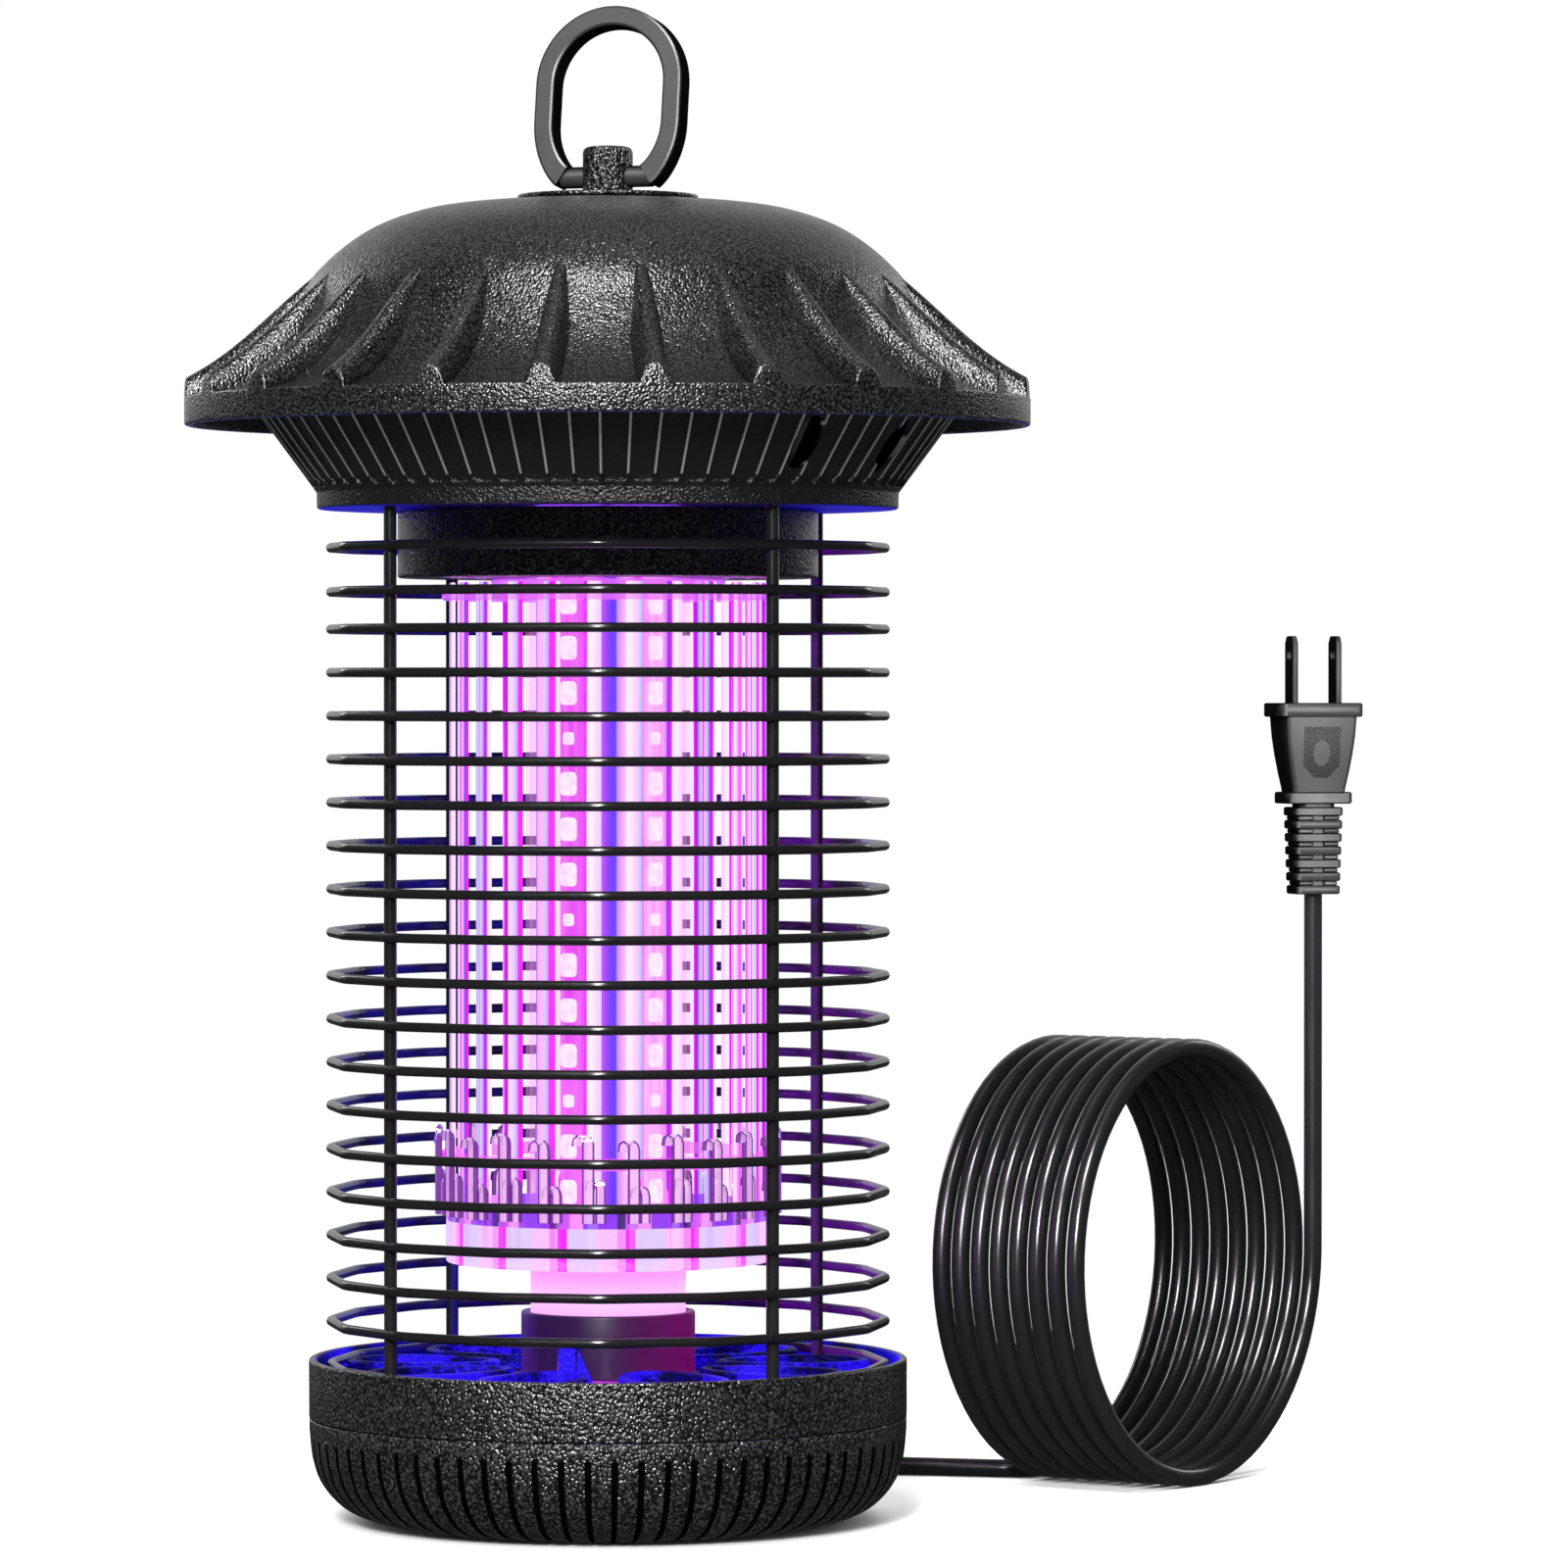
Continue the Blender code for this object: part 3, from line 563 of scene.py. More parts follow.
def skirt_look():
    """Black skirt whose thin upright lines carry a painted highlight, a lighter colour than the panels
    between them; the foot's underside carries painted blue lamp light towards the left and right.
    """
    n = Nodes("skirt_look")
    above = n.calc("GREATER_THAN", n.axis("Z"), 265.5 * MM)
    # Painted highlight: the lines' colour is lighter than the panels'.
    line = n.calc("MULTIPLY", n.ramp(n.off_middle(FLUTES), [(0.44, 0.0), (0.47, 1.0)]), above)
    n.set(Base_Color=n.ramp(line, [(0.0, (0.003, 0.003, 0.0032)), (1.0, (0.09, 0.09, 0.095))]))
    n.rough(60, 3, 0.27, 0.38)
    grain = n.calc("ADD", n.cells(1350), n.calc("MULTIPLY", n.noise(2300), 0.9))
    on_foot = n.calc("ADD", n.calc("MULTIPLY", n.calc("SUBTRACT", 1.0, above), 0.8), 0.2)
    n.bump(n.calc("MULTIPLY", grain, on_foot), 0.0003)
    # Painted lamp light: a blue glow on the foot's downward faces, strongest to the left and right.
    sideways = n.calc("MULTIPLY", n.calc("ABSOLUTE", n.axis("X")), 10.0)
    aside = n.ramp(sideways, [(0.42, 0.06), (0.62, 1.0)])
    n.glow(shade(20, 4, 180), n.calc("MULTIPLY", n.facing_down(259.5), aside))
    return n.material


GRAINED = grained_black("grained_black_look", 0.85, 0.5)
GROOVED = grained_black("grooved_bowl_look", 0.85, 0.5, grooved=True)
FINE_GRAINED = grained_black("fine_grained_look", 0.9, 0.8)
NECK_GRAINED = grained_black("neck_look", 0.8, 0.25)
GRAINED_LID = grained_black("grained_lid_look", 0.66, 0.36, lit_below=280)
SMOOTH = smooth_black("smooth_black_look")
# Ring and plug: painted shade turns them black where they are seen at a low angle.
RING_BLACK = smooth_black("ring_black_look", (0.006, 0.006, 0.0062), (0.3, 0.4), glance=True)
PLUG = smooth_black("plug_look", (0.008, 0.008, 0.0084), (0.36, 0.46), glance=True)
PLUG_PAD = smooth_black("plug_pad_look", (0.0012, 0.0012, 0.0013), (0.7, 0.8))
POWDER = powder_coat()
JACKET = cord_jacket()
# The plated blades get a colour darker than bright plating, a painted shade for the dark surround they
# mirror.
PLATED = bright_metal("plated_look", (0.3, 0.3, 0.31), dark=True)
ZINC = bright_metal("zinc_look", (0.6, 0.6, 0.62))
RUBBER = rubber_look()
STRIP = grid_strip()
CROWN_CLEAR = lit_clear("crown_clear_look", PALE_PINK, VIOLET, 0.9, 0.45)
# Dark violet for the finger rails: painted shade along the clear fingers' sides.
CROWN_EDGE_SHADE = lit_clear("crown_edge_shade_look", shade(112, 24, 150), shade(60, 8, 110), 0.8, 0.12)
RING_CLEAR = lit_clear("ring_clear_look", shade(246, 120, 246), MAGENTA, 0.85, 0.4)
DISC_CLEAR = lit_clear("disc_clear_look", shade(232, 110, 250), shade(190, 70, 250), 0.95, 0.45)
TUBE_CLEAR = lit_clear("tube_clear_look", PALE_PINK, PINK, 0.9, 0.97, gloss=0.02, at_edge=0.85)
DRUM = crown_drum()
SKIRT_LOOK = skirt_look()
DECK_LOOK = deck_look()
BLUE_LIT = blue_lit("blue_lit_look", grain=False)
BLUE_GRAIN = blue_lit("blue_grain_look", grain=True)


# ---- Shapes ----


def add_object(name, data):
    obj = bpy.data.objects.new(name, data)
    bpy.context.scene.collection.objects.link(obj)
    return obj


def piece(name, data, material, body, slot, *replaced, smooth=True, sharp=40):
    """Shows a finished mesh or curve with its look, tied to its body, and hides the nodes it stands for."""
    obj = add_object(name, data)
    data.materials.append(material)
    if smooth and isinstance(data, bpy.types.Mesh):
        data.shade_smooth()
        data.set_sharp_from_angle(angle=math.radians(sharp))
    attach(obj, body)
    if replaced:
        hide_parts(*replaced)
    return obj


def dress(node, material):
    """Gives a CAD node its look."""
    obj = NODES[node]
    obj.data.materials.clear()
    obj.data.materials.append(material)
    return obj


def break_edges(obj, width, limit):
    """Breaks the edges of a CAD node that are sharper than a limit, and leaves its faces as they are."""
    bevel = obj.modifiers.new("Edges", "BEVEL")
    bevel.width = width * MM
    bevel.segments = 2
    bevel.limit_method = "ANGLE"
    bevel.angle_limit = math.radians(limit)


def mesh_of(name, bm):
    bmesh.ops.recalc_face_normals(bm, faces=bm.faces)
    mesh = bpy.data.meshes.new(name)
    bm.to_mesh(mesh)
    bm.free()
    return mesh


def in_metres(points):
    return [tuple(c * MM for c in point) for point in points]


def round_grid(name, columns, rows, place):
    """A closed turned skin: place(column, row) gives the point where a column meets a row."""
    many = len(rows)
    faces = []
    for c in range(len(columns)):
        after = (c + 1) % len(columns)
        for r in range(many):
            below = (r + 1) % many
            faces.append((c * many + r, c * many + below, after * many + below, after * many + r))
    mesh = bpy.data.meshes.new(name)
    mesh.from_pydata([place(c, r) for c in columns for r in rows], [], faces)
    mesh.validate()
    bm = bmesh.new()
    bm.from_mesh(mesh)
    return mesh_of(name, bm)


def turned(name, outline, steps):
    """Revolves a closed (radius, height) outline in metres."""
    columns = [TAU * k / steps for k in range(steps)]
    return round_grid(name, columns, outline, lambda a, p: (p[0] * math.cos(a), p[0] * math.sin(a), p[1]))


def curve_between(start, bend, end, steps):
    """Points of a curve from start to end that is drawn towards the bend."""
    shares = [s / steps for s in range(steps + 1)]
    return [start * (1 - t) ** 2 + bend * 2 * t * (1 - t) + end * t * t for t in shares]


def rounded(outline, radius, steps=3):
    """Rounds the corners of a closed outline in metres, so that edges catch the light."""
    smooth = []
    many = len(outline)
    for k in range(many):
        before, here, after = (Vector(outline[(k + d) % many]) for d in (-1, 0, 1))
        back, ahead = before - here, after - here
        size = min(radius * MM, back.length * 0.45, ahead.length * 0.45)
        start, end = (here + leg.normalized() * size for leg in (back, ahead))
        smooth += [tuple(point) for point in curve_between(start, here, end, steps)]
    return smooth


def tube_outline(r, hole, foot, top):
    return [(r, top), (r, foot), (hole, foot), (hole, top)]


def pot_outline(r, hole, foot, top, floor, wall):
    """Wall standing on a floor with a hole in it; floor and wall are thicknesses in millimetres."""
    inner = r - wall * MM
    deck = foot + floor * MM
    return [(r, top), (r, foot), (hole, foot), (hole, deck), (inner, deck), (inner, top)]


def turned_piece(name, outline, corner, steps, material, slot, node):
    """Revolved skin with rounded corners that stands for one node; corner is (radius, steps)."""
    return piece(name, turned(name, rounded(outline, *corner), steps), material, "lantern", slot, node)


def corners_on(bm, place, points):
    """New corners at points in millimetres, moved by a placing matrix."""
    return [bm.verts.new(place @ (Vector(point) * MM)) for point in points]


def bridge(bm, rings, closed=False):
    """Joins each ring of corners to the next by a band of faces, and caps the ends of an open row."""
    many = len(rings[0])
    for here, after in zip(rings, rings[1:] + rings[:1] if closed else rings[1:]):
        for k in range(many):
            beside = (k + 1) % many
            bm.faces.new((here[k], here[beside], after[beside], after[k]))
    if not closed:
        bm.faces.new(rings[0][::-1])
        bm.faces.new(rings[-1])


def soft_edges(bm, width, segments=2, edges=None):
    bmesh.ops.bevel(bm, geom=edges or bm.edges, offset=width * MM, segments=segments, affect="EDGES")


def add_cone(bm, foot_r, top_r, length, place, sides):
    """Capped cone or rod along its own Z axis."""
    bmesh.ops.create_cone(
        bm, cap_ends=True, segments=sides, radius1=foot_r * MM, radius2=top_r * MM, depth=length * MM,
        matrix=place,
    )


def add_box(bm, size, place):
    bmesh.ops.create_cube(bm, size=1, matrix=place @ Matrix.Diagonal((*(Vector(size) * MM), 1)))


def cut_away(obj, bm, name):
    """Cuts the shapes gathered in bm out of an object."""
    cutter = add_object(name, mesh_of(name, bm))
    cut = obj.modifiers.new(name, "BOOLEAN")
    cut.operation = "DIFFERENCE"
    cut.object = cutter
    graph = bpy.context.evaluated_depsgraph_get()
    obj.data = bpy.data.meshes.new_from_object(obj.evaluated_get(graph))
    obj.modifiers.clear()
    bpy.data.objects.remove(cutter)


def round_wire(name, radius, lines, closed=False, fineness=3):
    """Round wire along lines of points in metres."""
    curve = bpy.data.curves.new(name, "CURVE")
    curve.dimensions = "3D"
    curve.bevel_depth = radius * MM
    curve.bevel_resolution = fineness
    curve.use_fill_caps = not closed
    for line in lines:
        run = curve.splines.new("POLY")
        run.points.add(len(line) - 1)
        for target, point in zip(run.points, line):
            target.co = (*point, 1)
        run.use_cyclic_u = closed
    return curve


def soft_step(x):
    x = min(1.0, max(0.0, x))
    return x * x * (3 - 2 * x)


def flowing(points, per_span=5):
    """Catmull-Rom points through a line of 2D points."""
    points = [Vector(p) for p in points]
    line = []
    for k in range(len(points) - 1):
        a, b, c, d = (points[min(len(points) - 1, max(0, k + step))] for step in (-1, 0, 1, 2))
        for s in range(per_span):
            t = s / per_span
            bend = (2 * a - 5 * b + 4 * c - d) * t * t
            line.append(0.5 * (2 * b + (c - a) * t + bend + (3 * b - a - 3 * c + d) * t ** 3))
    return [(p.x, p.y) for p in line + [points[-1]]]


def columns_with_ribs(count, start, inside, between):
    """Angle of the rib's middle, place across the rib, and share of the way to the next, for each column."""
    columns = []
    for k in range(count):
        middle = math.radians(start) + TAU * k / count
        columns += [(middle, u, 0.0) for u in inside]
        columns += [(middle, inside[-1], (s + 1) / (between + 1)) for s in range(between)]
    return columns


def column_angle(column, half_width, radius, count, edge):
    """Angle of a column, given the rib's half width at this radius."""
    middle, u, share = column
    reach = half_width / radius
    if share == 0.0:
        return middle + u * reach
    return middle + edge * reach + share * (TAU / count - 2 * edge * reach)


def round_point(r, angle, z):
    """Point in metres at a radius, an angle in radians and a height."""
    return (r * MM * math.cos(angle), r * MM * math.sin(angle), z * MM)


# ---- Lid ----


def make_top_cover():
    """Domed lid with a bell-shaped skirt, a straight brim band and radial ribs with rounded crests."""
    dome = [
        (3.4, 337), (12, 337), (23.2, 336.95), (41.2, 335.4), (51.7, 333.0), (60, 329.6), (67, 325.0),
        (73, 319.6),
    ]
    bell = [
        (76.5, 315.2), (79.8, 308.6), (85.2, 300.4), (91.6, 293.9), (98.6, 289.4), (104, 287.3),
        (106.8, 286.75),
    ]
    brim = 107.75
    shoulder = [(107.1, 286.72, 1.0), (107.45, 286.66, 0.95), (107.68, 286.5, 0.8), (brim, 286.2, 0.45)]
    edge = [(brim, 285.9), (brim, 280.2), (107.6, 279.7), (107.2, 279.5)]
    inner = [
        (105.9, 279.5), (105.5, 279.8), (105.3, 284.0), (104.4, 284.7), (98, 286.8), (90.8, 291.2),
        (83.8, 298.6), (77.6, 307.6), (72.6, 316.2), (64, 323.8), (52, 329.9), (40, 332.8), (23, 334.3),
        (3.4, 334.4),
    ]
    rows = [(r, z, 1.0) for r, z in flowing(dome + bell)] + shoulder + [(r, z, 0.0) for r, z in edge + inner]
    ridge_start, ridge_end = 74.0, 107.2

    def along(r):
        return (r - ridge_start) / (ridge_end - ridge_start)

    def ridge_height(r):
        """Height of a rib's crest: nearly straight, sagging a little towards the brim."""
        t = along(r)
        return 318.0 - 26.5 * t - 2.86 * math.sin(math.pi * t) * t

    def half_width(r):
        return 0.25 + 3.55 * min(1.0, max(0.0, along(r)) * 3.0) ** 0.65

    right = [0.28, 0.55, 0.78, 0.9, 0.97, 1.0, 1.12]
    inside = [-u for u in reversed(right)] + [0] + right
    columns = columns_with_ribs(LID_RIBS, -82.5, inside, 7)

    def place(column, row):
        r, z, share = row
        u = abs(column[1])
        if share and u < 1 and column[2] == 0.0 and r > ridge_start:
            crest = max(0.0, ridge_height(min(r, ridge_end)) - z)
            z += share * crest * (1 - u ** 2.6) ** 0.62
        return round_point(r, column_angle(column, half_width(r), r, LID_RIBS, inside[-1]), z)

    mesh = round_grid("top_cover_skin", columns, rows, place)
    piece("top_cover_skin", mesh, GRAINED_LID, "lantern", "grained_black", "top_cover", sharp=50)


# ---- Skirt and housing ----


def make_upper_skirt():
    """Cone under the brim: sunk panels between thin upright lines, a plain foot ring and oval vents."""
    foot, top = (z / MM for z in extent("upper_skirt")[1:])
    heights = [top, 287, 284, 281, 278, 275, 272, 269, 267, 266]
    heights += [265.4, 264.8, 264.4, 264.1, 263.8, 263.5, 263.1, 262.6]
    cone = [(SKIRT_FOOT_R + (z - SKIRT_FOOT_Z) * SKIRT_SLOPE, z) for z in heights]
    ring = [(74.15, 262.3), (74.1, 258.9), (73.9, 258.45), (73.4, foot)]
    inner = [(46, foot), (46, foot + 2.5), (71.4, foot + 2.5), (90.0, top - 2.5), (79, top - 2.5), (79, top)]
    rows = [(r, z, True) for r, z in cone] + [(r, z, False) for r, z in ring + inner]
    inside = [-1.7, -1.25, -0.85, -0.6, 0.6, 0.85, 1.25, 1.7]
    columns = columns_with_ribs(FLUTES, 0.0, inside, 4)
    line_half = 0.42

    def sunk_depth(column, r, z):
        """Depth of a panel: soft at its upright edges, with rounded lower corners."""
        u, share = column[1:]
        panel = math.pi * r / FLUTES - line_half
        from_line = (abs(u) - 0.6) * line_half if share == 0.0 else 0.46 + min(share, 1 - share) * panel * 2
        corner = max(0.0, 1.2 - from_line) ** 2 * 0.75
        return 0.85 * soft_step(from_line / 0.34) * soft_step((z - 263.4 - corner) / 0.7)

    def place(column, row):
        r, z, sunk = row
        angle = column_angle(column, line_half, r, FLUTES, inside[-1])
        return round_point(r - sunk_depth(column, r, z) if sunk else r, angle, z)

    mesh = round_grid("upper_skirt_skin", columns, rows, place)
    skirt = piece("upper_skirt_skin", mesh, SKIRT_LOOK, "lantern", "grained_black", "upper_skirt", sharp=35)
    vents = bmesh.new()
    for angle in VENT_ANGLES:
        oval = turn("Z", angle) @ shift(82, 0, VENT_Z) @ turn("Y", 90) @ Matrix.Diagonal((1.5, 1, 1, 1))
        add_cone(vents, 4.3, 4.3, 16, oval, 32)
    cut_away(skirt, vents, "vent_cutter")


def make_vent_bars():
    """Upright guard bar behind each oval vent."""
    bm = bmesh.new()
    lean = turn("Y", math.degrees(math.atan(SKIRT_SLOPE)))
    for angle in VENT_ANGLES:
        add_box(bm, (1.4, 2.2, 19), turn("Z", angle) @ shift(77.4, 0, VENT_Z) @ lean)
    soft_edges(bm, 0.3)
    piece("vent_bars", mesh_of("vent_bars", bm), SMOOTH, "lantern", "grained_black")


def make_lamp_housing():
    """Short neck between the cage and the skirt, open over the lamp."""
    r, foot, top = extent("lamp_housing")
    outline = pot_outline(r, extent("lamp_socket")[0], foot, top, 2.4, 2.2)
    turned_piece("lamp_housing_skin", outline, (0.8, 4), 128, NECK_GRAINED, "grained_black", "lamp_housing")


# ---- Base ----


def make_collection_bowl():
    """Bowl with seventy-two upright grip grooves under a plain collar, and its bright floor."""
    wall = [(76.0, 26.95), (76.25, 26.7), (76.2, 24.0), (76.1, 23.0)]
    side = [(76.1, 23.0), (75.8, 19.5), (75.2, 16.0), (73.6, 11.3), (70.4, 6.9), (65.6, 3.3)]
    side += [(58, 1.0), (47, 0.1)]
    inner = [
        (44, 0.0), (2, 0.0), (2, 2.6), (44.5, 2.6), (56, 3.6), (64, 6), (69, 10), (71.4, 14), (72.2, 19),
        (70.4, 21.5), (70.4, 24.6), (74.3, 24.6), (74.3, 26.9),
    ]
    rows = [(r, z, False) for r, z in wall] + [(r, z, True) for r, z in flowing(side)[1:]]
    rows += [(r, z, False) for r, z in inner]
    right = [0.6, 0.7, 0.95, 1.08, 1.5]
    inside = [-u for u in reversed(right)] + right
    columns = columns_with_ribs(FLUTES, GROOVE_START, inside, 3)
    groove_half, groove_depth = 0.6, 1.2

    def place(column, row):
        r, z, grooved = row
        angle = column_angle(column, groove_half, r, FLUTES, inside[-1])
        if grooved and column[2] == 0.0:
            across = soft_step((1.08 - abs(column[1])) / 0.42)
            depth = groove_depth * across * soft_step((23.0 - z) / 0.8) * soft_step((z - 0.2) / 1.2)
            lean = math.atan2(max(0.0, 12 - z), 10.0)
            r -= depth * math.cos(lean)
            z += depth * math.sin(lean)
        return round_point(r, angle, z)

    mesh = round_grid("collection_bowl_skin", columns, rows, place)
    piece("collection_bowl_skin", mesh, GROOVED, "bowl", "grained_black", "collection_bowl", sharp=45)
    mesh = turned("bowl_floor", rounded(in_metres(tube_outline(66, 1, 6.6, 7.4)), 0.2), 128)
    piece("bowl_floor", mesh, bowl_floor_look(), "bowl", "grained_black")


def make_base_band():
    """Plain upper band: a softly rounded rim, crisp lower corners, and an inside lit blue."""
    r, foot, top = extent("base_band")
    inner = r - 2 * MM
    outline = [(r, top), (r, foot), (69 * MM, foot), (69 * MM, foot + 2 * MM), (inner, foot + 2 * MM)]
    outline += [(inner, 36.5 * MM), (inner, top)]
    pairs = zip(rounded(outline, 0.7, 4), rounded(outline, 0.15, 4))
    profile = [soft if soft[1] > 35 * MM else crisp for soft, crisp in pairs]
    mesh = turned("base_band_skin", profile, 160)
    piece("base_band_skin", mesh, GRAINED, "lantern", "grained_black", "base_band")
    mesh.materials.append(BLUE_LIT)
    for polygon in mesh.polygons:
        x, y, z = polygon.center
        if math.hypot(x, y) < inner + 0.4 * MM and z > 30 * MM:
            polygon.material_index = 1


def make_tray():
    """Open deck under the lamp: petal-shaped walls round its openings, lit blue from above."""
    break_edges(dress("tray_deck", DECK_LOOK), 0.35, 30)
    petals, points = 9, 28
    middle, half_long, half_wide = 48, 18.6, 11.6
    for k in range(petals):
        line = []
        for s in range(points):
            a = TAU * s / points
            out = middle + half_long * math.cos(a)
            across = half_wide * math.sin(a) / (1 - 0.35 * math.cos(a)) ** 0.7
            line.append(turn("Z", 10 + 360 * k / petals) @ (Vector((out, across, 0)) * MM))
        name = f"tray_petal_{k + 1}"
        mesh = wall_along(name, line, 1.3, DECK_TOP - 0.3, DECK_TOP + 3.4)
        piece(name, mesh, BLUE_GRAIN, "lantern", "grained_black")
    make_lock_tab()


def wall_along(name, line, half, foot, top):
    """A closed upright wall of even thickness along a loop of points in metres."""
    bm = bmesh.new()
    shoulder = top - half * 0.35
    rings = []
    for k, point in enumerate(line):
        along = (line[(k + 1) % len(line)] - line[k - 1]).normalized()
        side = Vector((-along.y, along.x, 0)) * half * MM
        section = [(1, foot), (1, shoulder), (0.6, top), (-0.6, top), (-1, shoulder), (-1, foot)]
        rings.append([bm.verts.new((*(point + side * out).xy, z * MM)) for out, z in section])
    bridge(bm, rings, closed=True)
    return mesh_of(name, bm)


def make_lock_tab():
    """Upright tab with a triangular gusset that locks the lamp's foot."""
    bm = bmesh.new()
    add_box(bm, (4.8, 2.6, 10.0), shift(-9.8, -26, DECK_TOP + 4.6))
    gusset = [(-7.4, -0.3), (-3.0, -0.3), (-7.4, 9.6)]
    lift = shift(0, 0, DECK_TOP)
    bridge(bm, [corners_on(bm, lift, [(x, y, z) for x, z in gusset]) for y in (-26.8, -25.2)])
    soft_edges(bm, 0.3)
    piece("tray_lock_tab", mesh_of("tray_lock_tab", bm), BLUE_GRAIN, "lantern", "grained_black")


# ---- Cage ----


def make_cage():
    """Wire rings bent to sixteen sides, outside four rods; both are round wire."""
    ring_r, rod_r, first, pitch = 71, 68, 40.25, 11.03
    corners = [round_point(ring_r, TAU * k / CAGE_SIDES, 0)[:2] for k in range(CAGE_SIDES)]
    bent = rounded(corners, 3.2, 4)
    heights = [first + pitch * k for k in range(18)] + [237.25, 248.5]
    rings = round_wire("cage_rings", 1.25, [[(x, y, z * MM) for x, y in bent] for z in heights], closed=True)
    bottom, top = extent("wire_cage")[1:]
    lines = []
    for k in range(4):
        x, y = round_point(rod_r, math.radians(38.2 + 90 * k), 0)[:2]
        lines.append([(x, y, z) for z in (bottom, bottom + 50 * MM, top - 50 * MM, top)])
    piece("cage_rings", rings, POWDER, "lantern", "powder_coat", "wire_cage")
    piece("cage_rods", round_wire("cage_rods", 1.62, lines), POWDER, "lantern", "powder_coat")


# ---- Lamp and grid ----


def make_grid():
    """Twenty-four bright strips with shoulders and narrow tails; every second one belongs to each comb."""
    for name, start, shoulder in (("live_electrode", 7.5, 95.5), ("earth_electrode", 22.5, 91.5)):
        bm = bmesh.new()
        side = [(-1.2, 70), (-1.2, shoulder - 5.5), (-2.15, shoulder - 3.8), (-2.15, 239.6)]
        outline = side + [(-y, z) for y, z in reversed(side)]
        for k in range(GRID_STRIPS // 2):
            place = turn("Z", GRID_YAW + start + 30 * k) @ shift(GRID_R, 0, 0)
            bridge(bm, [corners_on(bm, place, [(x, y, z) for y, z in outline]) for x in (0.45, -0.45)])
        soft_edges(bm, 0.22)
        piece(f"{name}_strips", mesh_of(name, bm), STRIP, "lantern", "grid_steel", name)


def rounded_box(wide, tall, soft, per_corner):
    """Points of a rectangle with rounded corners, centred on the origin."""
    reach_x, reach_y = wide / 2 - soft, tall / 2 - soft
    points = []
    for x, y, start in ((1, 1, 0), (-1, 1, 90), (-1, -1, 180), (1, -1, 270)):
        for k in range(per_corner):
            a = math.radians(start + 90 * k / (per_corner - 1))
            points.append((x * reach_x + soft * math.cos(a), y * reach_y + soft * math.sin(a)))
    return points


def chip_shape(bm, place, wide, tall):
    """A flat chip with rounded corners, facing along X."""
    half = 0.45
    outline = rounded_box(wide, tall, wide * 0.26, 4)
    levels = ((-half, 1), (half * 0.5, 1), (half, 0.88))
    bridge(bm, [corners_on(bm, place, [(x, y * s, z * s) for y, z in outline]) for x, s in levels])


def make_lamp():
    """Square column with a light strip and its chips on each face, inside a clear tube."""
    chip_r, top_chip, chip_pitch = 15.75, 234.5, 11.5
    dress("led_column", column_face())
    chip = lit_chip()
    magenta_board = strip_board("led_strip_look", shade(226, 56, 238), shade(240, 110, 244))
    pale_board = strip_board("led_strip_pale_look", shade(246, 150, 248), PALE_PINK)
    for face in range(4):
        dress(f"led_strip_{face + 1}", pale_board if face % 2 else magenta_board)
        bm = bmesh.new()
        for number in range(14):
            wide, tall = (3.2, 3.2) if number % 4 == 3 else (5.0, 6.0)
            place = turn("Z", COLUMN_YAW + 45 + 90 * face) @ shift(chip_r, 0, top_chip - chip_pitch * number)
            chip_shape(bm, place, wide, tall)
        piece(f"led_chips_{face + 1}", mesh_of("led_chips", bm), chip, "lantern", "light_strip")
    r, foot, top = extent("lamp_tube")
    mesh = turned("lamp_tube_wall", tube_outline(r, r - 1 * MM, foot, top), 96)
    piece("lamp_tube_wall", mesh, TUBE_CLEAR, "lantern", "clear_plastic", "lamp_tube")


def make_lamp_foot():
    """Dark socket cup with a rounded lip, and the translucent lamp end that stands in it."""
    r, foot, top = extent("lamp_socket")
    cup = pot_outline(r, 6 * MM, foot, top, 2.2, 1.9)
    turned_piece("lamp_socket_cup", cup, (0.6, 3), 96, cup_look(), "smooth_black", "lamp_socket")
    r, foot, top = extent("lamp_collar")
    collar = tube_outline(r, 12 * MM, foot, top)
    turned_piece("lamp_collar_wall", collar, (0.5, 3), 96, lit_collar(), "lamp_plastic", "lamp_collar")


def finger(bm, angle, radius, tip, width, aside=0.0):
    """A small upright hook that turns over the strip at its top, set off sideways if asked."""
    base = 79
    path = [(0, base), (0, tip - 2.2), (-0.35, tip - 0.8), (-1.3, tip), (-2.4, tip - 0.7), (-2.7, tip - 2.6)]
    half, deep = width / 2, 0.7
    rings = []
    for k, (x, z) in enumerate(path):
        before, after = path[max(0, k - 1)], path[min(len(path) - 1, k + 1)]
        along = Vector((after[0] - before[0], after[1] - before[1])).normalized()
        ring = []
        for side, out in ((-half, -deep), (half, -deep), (half, deep), (-half, deep)):
            ring.append((radius + along.y * out, side + x + aside, z - along.x * out * 0.3))
        rings.append(corners_on(bm, turn("Z", angle), ring))
    bridge(bm, rings)


